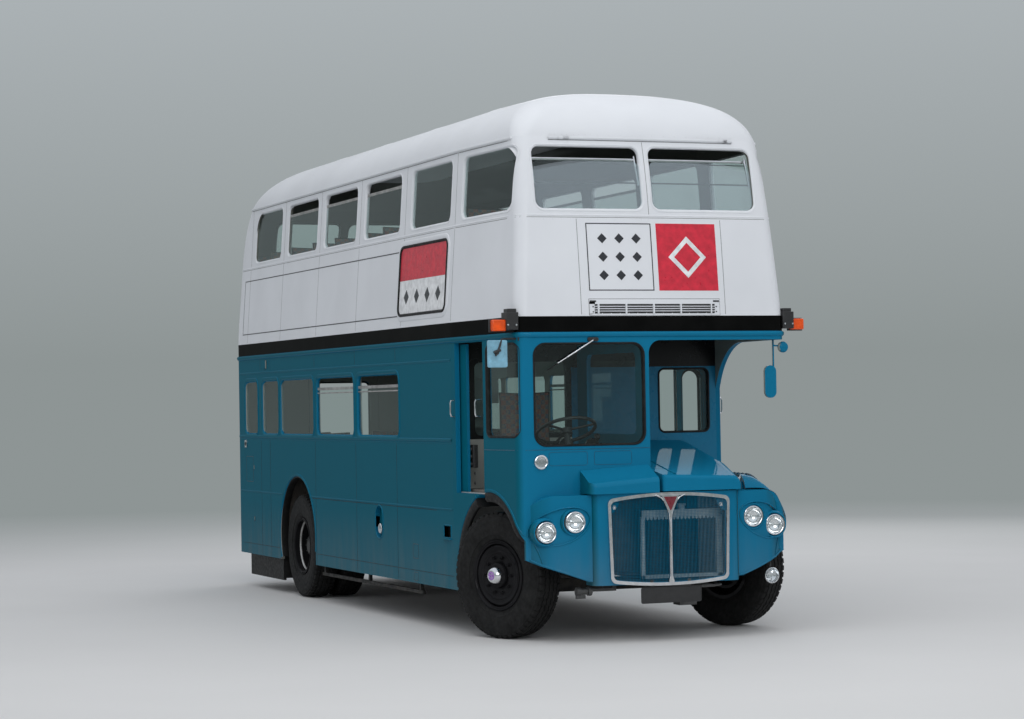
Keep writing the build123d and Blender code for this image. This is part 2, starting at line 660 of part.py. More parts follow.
bonnet = bonnet_form(0, (0, 0, 0))
bonnet = fillet(bonnet.faces().sort_by(Axis.Y)[0].edges().sort_by(Axis.Z)[1:], 30)
bonnet -= bonnet_form(BONNET_T, (BONNET_T, 0, 5))
bonnet -= box(-BIG, BIG, -BIG, BIG, 0, BONNET_LOW)
BONNET_RISE = BONNET_SECTIONS[2][2] - BONNET_SECTIONS[0][2]
BONNET_SLOPE = atan2(BONNET_RISE, BONNET_REAR - BONNET_FRONT)
BONNET_HINGE_Z = BONNET_SECTIONS[2][2] + 14
BONNET_HINGES = (-200, 420)


def bonnet_hinge(station, moving):
    """Half of a bonnet hinge barrel along the sloping edge."""
    half_length = 40
    start = back(station) + (half_length + SEAT_GAP if moving else 0)
    end = start + half_length - SEAT_GAP
    middle = (start + end) / 2
    level = BONNET_HINGE_Z - (BONNET_REAR - middle) * sin(BONNET_SLOPE) / cos(BONNET_SLOPE)
    barrel = Cylinder(8, (end - start) / cos(BONNET_SLOPE))
    barrel = Pos(BONNET_X0, middle, level) * Rot(90 + degrees(BONNET_SLOPE), 0, 0) * barrel
    return barrel, level, start, end


for hinge_station in BONNET_HINGES:
    barrel, level, start, end = bonnet_hinge(hinge_station, True)
    bonnet += barrel + box(BONNET_X0 - 2, BONNET_X0 + 30, start + 4, end - 4, level - 20, level)
    barrel, level, start, end = bonnet_hinge(hinge_station, False)
    nodes["cab_shell"] += barrel + box(CAB_WALL_X[1] - 5, BONNET_X0, start + 4, end - 4, level - 6, level + 6)
nodes["bonnet"] = bonnet

# Upper body corner lamps, side lamps, fog lamp and rear lamps
lamp_parts = []
for side in (-1, 1):
    x0, x1 = sorted((side * (OUTREACH - 80), side * OUTREACH))
    lamp_parts.append(box(x0, x1, back(-520), back(-480), 2440, 2500))
    x0, x1 = sorted((side * (HALF - 69), side * (OUTREACH - 80)))
    lamp_parts[-1] += box(x0, x1, back(-515), back(-485), 2455, 2485)
    lamp_parts[-1] -= lower_form(-SEAT_GAP, 2300, 2600)
lamp_parts.append(rod_y(42, 214 - HALF, back(-765), back(-745) + 40, 1408) - lower_form(-SEAT_GAP, 1300, 1500))
FOG_X = HALF - 267
fog = rod_y(64, FOG_X, back(-800), back(-740), 460)
fog += box(FOG_X - 10, FOG_X + 10, back(-760), back(-740), 460, 610)
fog += box(FOG_X - 10, FOG_X + 10, back(-880), back(-740), 595, 610) & wing_form(WING_T + SEAT_GAP)
lamp_parts.append(fog)
for side in (-1, 1):
    tail = rod_y(45, side * (HALF - 239), back(TAIL - 100), back(TAIL + 20), 900)
    tail -= lower_form(-SEAT_GAP, 700, 1100)
    lamp_parts.append(tail & box(-BIG, BIG, back(TAIL - 300), back(TAIL + 11), 0, BIG))
nodes["small_lamps"] = several(lamp_parts)

# Mirrors and wiper
ARM_X = HALF - 131
ARM_Y = (back(-640), back(-625))
LEFT_HEAD = (ARM_X - 95, ARM_X + 8, 1870, 2130)
ROUND_HEAD_Z = 2277
ROUND_HEAD_R = 45
RIGHT_HEAD = (-OUTREACH, 165 - OUTREACH, 2135, 2345)
RIGHT_ARM_X = (73 - OUTREACH, 93 - OUTREACH)
RIGHT_ARM_Y = (back(-680), back(-665))
mirror_left = box(ARM_X - 8, ARM_X + 8, *ARM_Y, 2050, BAND_LOW - SEAT_GAP)
mirror_left += window_y(*LEFT_HEAD, 40, ARM_Y[0] - 28, ARM_Y[0])
mirror_left += box(ARM_X, ARM_X + 90, ARM_Y[0], ARM_Y[1] - 3, ROUND_HEAD_Z - 7, ROUND_HEAD_Z + 7)
mirror_left += rod_y(ROUND_HEAD_R, ARM_X + 85, ARM_Y[0] - 28, ARM_Y[1] - 3, ROUND_HEAD_Z)
mirror_right = window_y(*RIGHT_HEAD, 15, RIGHT_ARM_Y[0] - 20, RIGHT_ARM_Y[0])
mirror_right += box(RIGHT_ARM_X[0], 109 - HALF, *RIGHT_ARM_Y, 2350, 2365)
mirror_right += box(*RIGHT_ARM_X, *RIGHT_ARM_Y, 2240, 2365)
nodes["mirrors"] = several([mirror_left, mirror_right - lower_form(-SEAT_GAP, 1000, 2600)])
wiper_arm = Pos(-730, BODY_FRONT - 14, 2235) * Rot(0, -27.7, 0) * Box(452, 8, 10)
wiper = wiper_arm + rod_y(16, -530, BODY_FRONT - 22, BODY_FRONT + 30, 2340)
nodes["wiper"] = wiper - lower_form(-SEAT_GAP, 1000, 2600)

# Chassis: front rails with the radiator cradle, rear rails and towing gear
RAIL_X = (340, 420)
RAIL_Z = (FLOOR_LOW - 100, FLOOR_LOW)
CRADLE_LOW = 430
CRADLE_TOP = CRADLE_LOW + 40
CRADLE_Y = (back(-740), back(-660))
RADIATOR_X = 190
CORE_HALF = 330
TANK_HALF = 345
rails = None
for side in (-1, 1):
    x0, x1 = sorted((side * RAIL_X[0], side * RAIL_X[1]))
    rail = box(x0, x1, back(-630), back(4380), *RAIL_Z)
    rail += box(x0, x1, back(-630), back(-560), CRADLE_LOW, RAIL_Z[0])
    rail += box(x0, x1, CRADLE_Y[0], back(-630), CRADLE_LOW, CRADLE_TOP)
    rails = rail if rails is None else rails + rail
rails += box(-RAIL_X[0], RADIATOR_X + TANK_HALF, *CRADLE_Y, CRADLE_LOW, CRADLE_TOP)
for station in (1500, 2900, 4300):
    rails += box(-RAIL_X[0], RAIL_X[0], back(station), back(station + 80), RAIL_Z[0] + 35, FLOOR_LOW - 5)
HITCH_R = 16
HITCH_STATION = TAIL - 60
REAR_BEAM = (TAIL - 260, TAIL - 200)
rear_frame = box(-RAIL_X[1], RAIL_X[1], back(5720), back(5800), 530, 600)
for side in (-1, 1):
    x0, x1 = sorted((side * RAIL_X[0], side * RAIL_X[1]))
    rear_frame += box(x0, x1, back(5720), back(REAR_BEAM[1]), *RAIL_Z)
rear_frame += box(-RAIL_X[1], RAIL_X[1], back(REAR_BEAM[0]), back(REAR_BEAM[1]), 440, FLOOR_LOW)
for level in (455, 545):
    rear_frame += box(-45, 45, back(REAR_BEAM[1]), back(HITCH_STATION), level - 14, level + 14)
    rear_frame += rod_z(45, 0, back(HITCH_STATION), level - 14, level + 14)
rear_frame -= rod_z(HITCH_R, 0, back(HITCH_STATION), 400, 600)
nodes["chassis_frame"] = several([rails, rear_frame])

engine = box(-RAIL_X[0], RAIL_X[0], back(-560), back(590), 520, 1130)
engine += box(-170, 170, back(590), back(1290), 380, 600)
engine += rod_y(38, 0, back(1290), back(WHEELBASE - 130) - SEAT_GAP, HUB_Z - 2)
nodes["engine"] = engine

radiator = box(RADIATOR_X - CORE_HALF, RADIATOR_X + CORE_HALF, back(-725), back(-655), CRADLE_TOP + SEAT_GAP, 930)
radiator += box(RADIATOR_X - TANK_HALF, RADIATOR_X + TANK_HALF, back(-735), back(-645), 930, 1010)
nodes["radiator"] = radiator

# Front axle beam, leaf springs and the steered knuckles
BEAM_EYE_Z = (HUB_Z - 91, HUB_Z + 63)
BEAM_TOP = HUB_Z - 57
EYE_R = 42
PIN_R = 22
SPINDLE_R = 32
beam = box(230 - KINGPIN_X, KINGPIN_X - 230, back(-38), back(38), BEAM_TOP - 100, BEAM_TOP)
for side in (-1, 1):
    x0, x1 = sorted((side * (KINGPIN_X - 250), side * (KINGPIN_X - 20)))
    beam += box(x0, x1, back(-34), back(34), HUB_Z - 80, HUB_Z + 10)
    beam += rod_z(EYE_R, side * KINGPIN_X, back(0), *BEAM_EYE_Z)
for side in (-1, 1):
    beam -= rod_z(PIN_R + RUNNING_FIT, side * KINGPIN_X, back(0), 300, 700)


def leaf(side):
    """Arched leaf spring under a rail."""
    high = RAIL_Z[0] - SEAT_GAP
    low = high - 30
    profile = ThreePointArc((back(-520), high), (back(0), BEAM_TOP + 30), (back(520), high))
    profile += Line((back(520), high), (back(520), low))
    profile += ThreePointArc((back(520), low), (back(0), BEAM_TOP), (back(-520), low))
    profile += Line((back(-520), low), (back(-520), high))
    x0 = min(side * 350, side * 410)
    return extrude(Plane.YZ.offset(x0) * make_face(profile), 60)


nodes["front_axle"] = beam + leaf(-1) + leaf(1)


def knuckle(side):
    """Forked knuckle with kingpin and spindle, at its steered rest angle."""
    ear_low = (BEAM_EYE_Z[0] - SEAT_GAP - 30, BEAM_EYE_Z[0] - SEAT_GAP)
    ear_high = (BEAM_EYE_Z[1] + SEAT_GAP, BEAM_EYE_Z[1] + SEAT_GAP + 30)
    part = rod_z(PIN_R, 0, 0, ear_low[0], ear_high[1])
    for z0, z1 in (ear_low, ear_high):
        part += rod_z(40, 0, 0, z0, z1) + box(0, 68, -38, 38, z0, z1)
    part += box(48, 68, -45, 45, ear_low[0], ear_high[1])
    part += rod_x(SPINDLE_R, 60, 230, 0, HUB_Z)
    if side < 0:
        part = mirror(part, Plane.YZ)
    return Pos(side * KINGPIN_X, AXLE_Y, 0) * Rot(0, 0, STEER_REST) * part


nodes["knuckle_right"] = knuckle(-1)
nodes["knuckle_left"] = knuckle(1)

# Wheels: profiles are (distance outward from the wheel's middle, radius)
RIM_R = 250
RIM_T = 12
AXLE_END_R = 45


def ring(points):
    return revolve(make_face(Polyline(*points, close=True)), Axis.X)


def tyre(middle):
    """Tyre section with bulged side walls, turned about the axle."""
    bead = RIM_R + RIM_T + SEAT_GAP
    flange = 285
    bulge = (flange + TYRE_R - 27) / 2
    outline = Line((-90, bead), (-90, flange))
    outline += ThreePointArc((-90, flange), (-TYRE_HALF, bulge), (-108, TYRE_R - 20))
    outline += ThreePointArc((-108, TYRE_R - 20), (-101, TYRE_R - 6), (-88, TYRE_R - 3))
    outline += ThreePointArc((-88, TYRE_R - 3), (0, TYRE_R), (88, TYRE_R - 3))
    outline += ThreePointArc((88, TYRE_R - 3), (101, TYRE_R - 6), (108, TYRE_R - 20))
    outline += ThreePointArc((108, TYRE_R - 20), (TYRE_HALF, bulge), (90, flange))
    outline += Line((90, flange), (90, bead))
    outline += Line((90, bead), (-90, bead))
    return Pos(middle, 0, 0) * revolve(make_face(outline), Axis.X)


def barrel(middle):
    points = [(-105, RIM_R), (105, RIM_R), (105, 280), (92, 280), (92, RIM_R + RIM_T),
              (-92, RIM_R + RIM_T), (-92, 280), (-105, 280)]
    return Pos(middle, 0, 0) * ring(points)


def front_wheel():
    """Front rim, disc, hub and drum about its own middle."""
    disc = ring([(70, RIM_R + 2), (96, 205), (96, 120), (84, 78),
                 (66, 78), (84, 124), (84, 198), (56, RIM_R + 2)])
    hub = ring([(-60, SPINDLE_R + RUNNING_FIT), (88, SPINDLE_R + RUNNING_FIT), (88, 0), (150, 0), (150, 48),
                (138, 62), (100, 66), (100, 82), (-60, 82)])
    drum = ring([(-72, 170), (-72, 196), (22, 196), (22, 80), (8, 80), (8, 170)])
    return barrel(0) + disc + hub + drum


def rear_wheels():
    """Twin rims, discs, hub and drum; distances are outward from the bus's centre line."""
    face = (REAR_OUTER + REAR_INNER) / 2
    hub_in = REAR_INNER - 65
    hub_out = REAR_OUTER + 35
    bearing = AXLE_END_R + RUNNING_FIT
    part = barrel(REAR_OUTER) + barrel(REAR_INNER)
    for way in (-1, 1):
        part += ring([(face, 90), (face, 215), (face + way * 60, RIM_R + 2), (face + way * 76, RIM_R + 2),
                      (face + way * 16, 205), (face + way * 16, 90)])
    part += ring([(hub_in, bearing), (hub_out - 80, bearing), (hub_out - 80, 0), (hub_out, 0),
                  (hub_out, 70), (hub_out - 20, 92), (hub_in, 92)])
    part += ring([(hub_in - 50, 172), (hub_in - 50, 198), (hub_in + 100, 198), (hub_in + 100, 90),
                  (hub_in + 86, 90), (hub_in + 86, 172)])
    return part


def steered(side, shape):
    """Places a front wheel shape at its steered rest angle."""
    moved = Pos(WHEEL_OUT, 0, 0) * shape
    if side < 0:
        moved = mirror(moved, Plane.YZ)
    return Pos(side * KINGPIN_X, AXLE_Y, HUB_Z) * Rot(0, 0, STEER_REST) * moved


front_tyre = tyre(0)
front_rim = front_wheel()
rear_rims = rear_wheels()
rear_tyres = [tyre(REAR_OUTER), tyre(REAR_INNER)]
for side, name in ((-1, "right"), (1, "left")):
    nodes["tyre_front_" + name] = steered(side, front_tyre)
    nodes["rim_front_" + name] = steered(side, front_rim)
    turned = [item if side > 0 else mirror(item, Plane.YZ) for item in rear_tyres + [rear_rims]]
    placed = [Pos(0, REAR_Y, HUB_Z) * item for item in turned]
    nodes["tyres_rear_" + name] = several(placed[:2])
    nodes["rims_rear_" + name] = placed[2]

AXLE_TUBE_R = 72
# Rear axle: tube, differential case and spring pads up to the floor
axle = rod_x(AXLE_TUBE_R, 155 - REAR_INNER, REAR_INNER - 155, REAR_Y, HUB_Z)
axle += rod_x(AXLE_END_R, 65 - REAR_OUTER, REAR_OUTER - 65, REAR_Y, HUB_Z)
axle += rod_y(104, 0, REAR_Y - 130, REAR_Y + 130, HUB_Z)
for side in (-1, 1):
    axle += rod_z(60, side * 480, REAR_Y, HUB_Z, FLOOR_LOW - SEAT_GAP)
nodes["rear_axle"] = axle

# Under the floor: guard rails, mudflaps, fuel tank, exhaust
guards = []
for side in (-1, 1):
    x0, x1 = sorted((side * (HALF - WALL - 29), side * (HALF - WALL - 4)))
    rail = box(x0, x1, back(1500), back(4400), 255, 285)
    for station in (1560, 2950, 4300):
        rail += box(x0, x1, back(station), back(station + 40), 255, FLOOR_LOW - SEAT_GAP)
    guards.append(rail)
guards[1] -= box(0, BIG, back(1400), back(DOORWAY[1] + 10), 0, BIG)
nodes["guard_rails"] = several(guards)

flaps = []
for side in (-1, 1):
    x0, x1 = sorted((side * (WHEEL_BOX_X + 40), side * (HALF - WALL - 1)))
    flap = box(x0, x1, back(5715), back(5727), 150, FLOOR_LOW - SEAT_GAP)
    x0, x1 = sorted((side * (HALF - WALL - 29), side * (HALF - WALL - 1)))
    flap += box(x0, x1, back(5715), back(TAIL - 480), 130, FLOOR_LOW - SEAT_GAP)
    flaps.append(flap)
nodes["mudflaps"] = several(flaps)

tank = box(99 - HALF, -560, back(2150), back(3050), 370, 590)
tank = fillet(tank.edges().filter_by(Axis.Y), 50)
tank += box(169 - HALF, 209 - HALF, back(2250), back(2290), 580, FLOOR_LOW - SEAT_GAP)
tank += box(-650, -610, back(2900), back(2940), 580, FLOOR_LOW - SEAT_GAP)
nodes["fuel_tank"] = tank

PIPE_X = 560
PIPE_R = 32
PIPE_Z = HUB_Z - AXLE_TUBE_R - PIPE_R - 13
exhaust = rod_y(PIPE_R, PIPE_X, back(700), back(TAIL - 500), PIPE_Z)
exhaust += rod_y(85, PIPE_X, back(2200), back(3100), PIPE_Z)
exhaust += box(PIPE_X - 12, PIPE_X + 12, back(2600), back(2630), PIPE_Z, FLOOR_LOW - SEAT_GAP)
nodes["exhaust"] = exhaust

# Saloon seats: deck level, side, stations of the cushion's front edge
SEAT_X = (240, HALF - 129)
SEAT_ROWS = [
    (FLOOR_Z, 1, (2150, 2870, 3590, 5960, 6640)),
    (FLOOR_Z, -1, (2560, 3280, 3900, 5960, 6640)),
    (BAND_HIGH, 1, (60, 780, 1500, 2220, 2940, 3660, 4380, 5100, 5820, 6500)),
    (BAND_HIGH, -1, (60, 2220, 2940, 3660, 4380, 5100, 5820, 6500)),
]
CUSHION_Z = (330, 445)
BACK_Z = (400, 930)
seat_solids = []
frame_solids = []
for level, side, stations in SEAT_ROWS:
    x0, x1 = sorted((side * SEAT_X[0], side * SEAT_X[1]))
    wall_x = side * (HALF - WALL - (SEAT_GAP if level == FLOOR_Z else 59))
    for station in stations:
        y0 = back(station)
        seat_solids.append(box(x0, x1, y0, y0 + 420, level + CUSHION_Z[0], level + CUSHION_Z[1]))
        seat_solids.append(box(x0, x1, y0 + 420 + SEAT_GAP, y0 + 500, level + BACK_Z[0], level + BACK_Z[1]))
        leg_x = sorted((side * (SEAT_X[0] + 60), side * (SEAT_X[0] + 90)))
        bar_x = sorted((side * (SEAT_X[0] + 60), wall_x))
        leg = box(*leg_x, y0 + 60, y0 + 440, level + SEAT_GAP, level + 30)
        leg += box(*leg_x, y0 + 200, y0 + 230, level + 10, level + CUSHION_Z[0] - SEAT_GAP)
        leg += box(*bar_x, y0 + 200, y0 + 230, level + CUSHION_Z[0] - 30, level + CUSHION_Z[0] - SEAT_GAP)
        frame_solids.append(leg)
for side in (-1, 1):
    x0, x1 = sorted((side * (WHEEL_BOX_X + 20), side * (HALF - WALL - 70)))
    y0, y1 = back(WHEEL_BOX_Y[0] + 20), back(WHEEL_BOX_Y[1] - 20)
    seat_solids.append(box(x0, x1, y0, y1, WHEEL_BOX_TOP + SEAT_GAP, WHEEL_BOX_TOP + 90))
    x0, x1 = sorted((side * (HALF - WALL - 69), side * (HALF - WALL - SEAT_GAP)))
    seat_solids.append(box(x0, x1, y0, y1, WHEEL_BOX_TOP + 92, LOWER_SILL - 10))
nodes["seats"] = several(seat_solids)
nodes["seat_frames"] = several(frame_solids)

# Staircase rising forward along the offside
RISE = (BAND_HIGH - FLOOR_Z) / STEPS
TREAD_T = 40
STAIR_X = (LINER_X[1] + SEAT_GAP, -600)
stairs = None
for number in range(1, STEPS):
    top = FLOOR_Z + number * RISE
    front = back(STAIR_FOOT) - number * TREAD
    tread = box(*STAIR_X, front, front + TREAD, top - TREAD_T, top)
    tread += box(*STAIR_X, front + TREAD - 20, front + TREAD, top - RISE - TREAD_T, top)
    stairs = tread if stairs is None else stairs + tread
stairs -= box(-BIG, BIG, -BIG, BIG, 0, FLOOR_Z + SEAT_GAP)
nodes["staircase"] = stairs

# Handrails: upright poles between floor and deck, and guard rail at the stair head
POLE_R = 16
# Poles: distance from the centre line, station
POLES = ((560, 2060), (-560, 2440), (300, 2700), (-300, 3200),
         (300, 4420), (-300, 4420), (300, 5850), (-300, 5850))
GUARD_X = -540
GUARD_ENDS = (780, 2110)
GUARD_TOP = 3400
poles = [rod_z(POLE_R, x, back(station), FLOOR_Z + SEAT_GAP, BAND_LOW - SEAT_GAP) for x, station in POLES]
stair_guard = rod_y(POLE_R, GUARD_X, back(GUARD_ENDS[0]), back(GUARD_ENDS[1]), GUARD_TOP)
for station in GUARD_ENDS:
    stair_guard += rod_z(POLE_R, GUARD_X, back(station), BAND_HIGH + SEAT_GAP, GUARD_TOP)
poles.append(stair_guard)
nodes["handrails"] = several(poles)

# Driver's place
seat_base = box(-780, -420, back(150), back(520), SILL_Z + CAB_FLOOR_T + SEAT_GAP, 1430)
driver_seat = seat_base + box(-830, -370, back(120), back(540), 1430, 1520)
driver_seat += box(-820, -380, back(530), back(600), 1500, 1950)
nodes["driver_seat"] = driver_seat

WHEEL_CENTRE = (-600, back(-330), 1640)
WHEEL_TILT = 25
WHEEL_R = 250
column_tilt = Pos(*WHEEL_CENTRE) * Rot(-WHEEL_TILT, 0, 0)
column = column_tilt * rod_z(24, 0, 0, -460, -40)
dash = box(139 - HALF, -110, back(-690), back(-590), 1420, 1500)
dash += box(-640, -560, back(-640), back(-470), 1172 + SEAT_GAP, 1420)
dash = (dash + column) & lower_form(WALL + SEAT_GAP, SILL_Z + CAB_FLOOR_T + SEAT_GAP, BAND_LOW)
nodes["dashboard"] = dash

wheel_rim = Torus(WHEEL_R - 14, 14)
spokes = None
for angle in (0, 120, 240):
    spoke = Rot(0, 0, angle) * box(-9, 9, 0, WHEEL_R - 20, -8, 4)
    spokes = spoke if spokes is None else spokes + spoke
hub = Pos(0, 0, -12) * Cylinder(48, 40) + rod_z(24, 0, 0, -40 + SEAT_GAP, -20)
nodes["steering_wheel"] = column_tilt * (wheel_rim + spokes + hub)

# Entrance doors: two pairs of leaves, folded open inwards
LEAF_T = 24
LEAF_X = HALF - 74
LEAF_GAP = 5
JAMB_GAP = LEAF_T / 2 + 7
LEAF_L = (DOORWAY[1] - DOORWAY[0] - 2 * JAMB_GAP - 2 * LEAF_GAP - 8) / 4
FOLD_PIN = LEAF_T / 2 + 6
LEAF_Z = (STEP_Z + 12, DOORWAY_TOP - 12)
POST_R = 9


def leaf_panel(start, end):
    """Door leaf with a tall window, lying along +Y in the plane x = 0."""
    panel = box(-LEAF_T / 2, LEAF_T / 2, start, end, *LEAF_Z)
    return panel - window_x(start + 55, end - 55, 950, 2120, 40, -50, 50)


def leaf_a():
    """Leaf next to the jamb, with its post on the hinge line and lugs for the second leaf."""
    part = leaf_panel(0, LEAF_L)
    part += rod_z(POST_R, 0, 0, STEP_Z + SEAT_GAP, DOORWAY_TOP - SEAT_GAP)
    for z0, z1 in ((LEAF_Z[0], LEAF_Z[0] + 8), (LEAF_Z[1] - 8, LEAF_Z[1])):
        part += box(0, FOLD_PIN + 6, LEAF_L - 20, LEAF_L + LEAF_GAP / 2 + 6, z0, z1)
    return part


def leaf_b():
    """Second leaf, carried by a rod between the first leaf's lugs."""
    low = LEAF_Z[0] + 8
    high = LEAF_Z[1] - 8
    start = LEAF_L + LEAF_GAP
    part = leaf_panel(start, start + LEAF_L) & box(-BIG, BIG, -BIG, BIG, low + 6, high - 6)
    part += rod_z(4, FOLD_PIN, LEAF_L + LEAF_GAP / 2, low + SEAT_GAP, high - SEAT_GAP)
    for z in (low + 60, high - 120):
        part += box(0, FOLD_PIN + 2, LEAF_L + LEAF_GAP / 2 - 2, start + 20, z, z + 60)
    return part


fold_line = Pos(FOLD_PIN, LEAF_L + LEAF_GAP / 2, 0)
leaf_far = fold_line * Rot(0, 0, -180) * fold_line.inverse() * leaf_b()
jambs = (("front", back(DOORWAY[0]) + JAMB_GAP, False), ("rear", back(DOORWAY[1]) - JAMB_GAP, True))
for name, jamb, flip in jambs:
    for label, shape in (("a", leaf_a()), ("b", leaf_far)):
        shape = Rot(0, 0, 90) * shape
        if flip:
            shape = mirror(shape, Plane.XZ)
        nodes["leaf_" + name + "_" + label] = Pos(LEAF_X, jamb, 0) * shape

for name, shape in nodes.items():
    export_step(shape, "parts/" + name + ".step")
print(len(nodes), "nodes")
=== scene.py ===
import json
from math import cos, pi, radians, sin, sqrt

import bmesh
import bpy
from mathutils import Matrix, Vector
from mathutils.bvhtree import BVHTree


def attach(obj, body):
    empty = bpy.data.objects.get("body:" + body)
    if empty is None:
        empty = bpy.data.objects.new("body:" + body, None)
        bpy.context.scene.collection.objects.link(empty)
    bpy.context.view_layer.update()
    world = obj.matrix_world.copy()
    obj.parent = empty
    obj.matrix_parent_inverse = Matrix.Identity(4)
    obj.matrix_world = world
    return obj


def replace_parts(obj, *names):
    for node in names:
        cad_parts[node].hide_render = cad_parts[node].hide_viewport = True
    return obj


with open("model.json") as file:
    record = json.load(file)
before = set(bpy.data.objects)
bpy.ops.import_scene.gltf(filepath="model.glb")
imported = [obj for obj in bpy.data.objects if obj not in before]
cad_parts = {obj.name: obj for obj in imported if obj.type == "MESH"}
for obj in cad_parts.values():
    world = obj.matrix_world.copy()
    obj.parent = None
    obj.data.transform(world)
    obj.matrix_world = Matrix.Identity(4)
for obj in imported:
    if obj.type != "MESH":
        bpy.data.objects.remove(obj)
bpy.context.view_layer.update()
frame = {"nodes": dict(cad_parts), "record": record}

# Half-cab double-deck bus, in metres: the front faces -Y and +X is the nearside.
NODES = frame["nodes"]
AXLE_Y = -3.221
WHEELBASE = 5.131
HALF = 1.219
TYRE_R = 0.502
STEER = radians(22)


def back(station):
    """Y of a station measured rearward from the front axle."""
    return AXLE_Y + station


# Materials

class Nodes:
    """Short calls for one material's node tree."""

    def __init__(self, name, color, roughness, metallic=0.0):
        self.material = bpy.data.materials.new(name)
        self.material.use_nodes = True
        self.tree = self.material.node_tree
        self.shader = self.tree.nodes["Principled BSDF"]
        self.shader.inputs["Base Color"].default_value = (*color, 1)
        self.set(Roughness=roughness, Metallic=metallic)
        self.place = self.new("TexCoord").outputs["Object"]

    def new(self, kind, **values):
        """Node of a kind, with constants on its inputs."""
        node = self.tree.nodes.new("ShaderNode" + kind)
        for key, value in values.items():
            node.inputs[key].default_value = value
        return node

    def set(self, **values):
        for key, value in values.items():
            self.shader.inputs[key.replace("_", " ")].default_value = value

    def link(self, source, target):
        self.tree.links.new(source, target)

    def noise(self, scale, detail=3.0, stretch=None):
        """Noise in the piece's own metres, stretched along its axes if asked."""
        node = self.new("TexNoise", Scale=scale, Detail=detail)
        place = self.place
        if stretch:
            mapping = self.new("Mapping", Scale=stretch)
            self.link(place, mapping.inputs["Vector"])
            place = mapping.outputs["Vector"]
        self.link(place, node.inputs["Vector"])
        return node.outputs["Fac"]

    def wave(self, scale):
        """Even ribs across the piece."""
        node = self.new("TexWave", Scale=scale)
        self.link(self.place, node.inputs["Vector"])
        return node.outputs["Fac"]

    def ramp(self, source, low, high, start, end):
        """Source between low and high becomes start to end, clamped."""
        node = self.new("MapRange")
        self.link(source, node.inputs["Value"])
        limits = {"From Min": low, "From Max": high, "To Min": start, "To Max": end}
        for key, value in limits.items():
            node.inputs[key].default_value = value
        return node.outputs["Result"]

    def math(self, operation, first, second=None):
        node = self.new("Math")
        node.operation = operation
        for socket, value in zip(node.inputs, (first, second)):
            if value is None:
                continue
            if isinstance(value, (int, float)):
                socket.default_value = value
            else:
                self.link(value, socket)
        return node.outputs["Value"]

    def axis(self, name):
        """One coordinate of the piece's own place."""
        return self.part(self.place, name)

    def normal(self, name):
        """One coordinate of the face's direction."""
        return self.part(self.new("NewGeometry").outputs["Normal"], name)

    def part(self, vector, name):
        node = self.new("SeparateXYZ")
        self.link(vector, node.inputs["Vector"])
        return node.outputs[name]

    def inward(self):
        """1 on faces that look towards the bus's long middle line, 0 elsewhere."""
        flat = self.new("VectorMath")
        flat.operation = "MULTIPLY"
        flat.inputs[1].default_value = (1, 0.28, 0)
        apart = self.new("VectorMath")
        apart.operation = "DOT_PRODUCT"
        self.link(self.place, flat.inputs[0])
        self.link(flat.outputs["Vector"], apart.inputs[0])
        self.link(self.new("NewGeometry").outputs["Normal"], apart.inputs[1])
        return self.math("LESS_THAN", apart.outputs["Value"], -0.25)

    def patches(self, scale, low, high, detail=3.0):
        """Noise spread to soft patches from 0 to 1."""
        return self.ramp(self.noise(scale, detail), low, high, 0.0, 1.0)

    def blend(self, factor, first, second):
        """Colour between two colours, each a tuple or a socket."""
        node = self.new("Mix")
        node.data_type = "RGBA"
        self.link(factor, node.inputs["Factor"])
        for socket, value in ((node.inputs[6], first), (node.inputs[7], second)):
            if isinstance(value, tuple):
                socket.default_value = (*value, 1)
            else:
                self.link(value, socket)
        return node.outputs[2]

    def color(self, source):
        self.link(source, self.shader.inputs["Base Color"])

    def mottle(self, patches, first, second):
        """Base colour in patches of two colours; patches is (scale, low, high) or has the detail too."""
        self.color(self.blend(self.patches(*patches), first, second))

    def roughness(self, source):
        self.link(source, self.shader.inputs["Roughness"])

    def uneven(self, scale, start, end):
        """Roughness that wanders between two values."""
        self.roughness(self.ramp(self.noise(scale), 0.3, 0.7, start, end))

    def bump(self, height, distance, strength):
        node = self.new("Bump", Distance=distance, Strength=strength)
        self.link(height, node.inputs["Height"])
        self.link(node.outputs["Normal"], self.shader.inputs["Normal"])

    def surface(self, source):
        """Shader that the material shows."""
        self.link(source, self.tree.nodes["Material Output"].inputs["Surface"])


def mixed(tree, factor, first, second):
    """Mix of two shaders by a factor, all given as sockets."""
    node = tree.nodes.new("ShaderNodeMixShader")
    for socket, source in zip(node.inputs, (factor, first, second)):
        tree.links.new(source, socket)
    return node.outputs["Shader"]


def shade(color, factor):
    return tuple(min(1.0, channel * factor) for channel in color)


PETROL = (0.006, 0.156, 0.285)
# The front's petrol darkened and greened for the sides, as painted shade
SHADED_SIDE_PETROL = (0.003, 0.104, 0.155)
CREAM = (0.68, 0.7, 0.735)
LINING = (0.3, 0.31, 0.28)
ENAMEL = (0.33, 0.36, 0.36)
DUST = (0.19, 0.17, 0.14)
# Level of the lowered front panes' upper edge
LOWERED_GLASS = 3.752


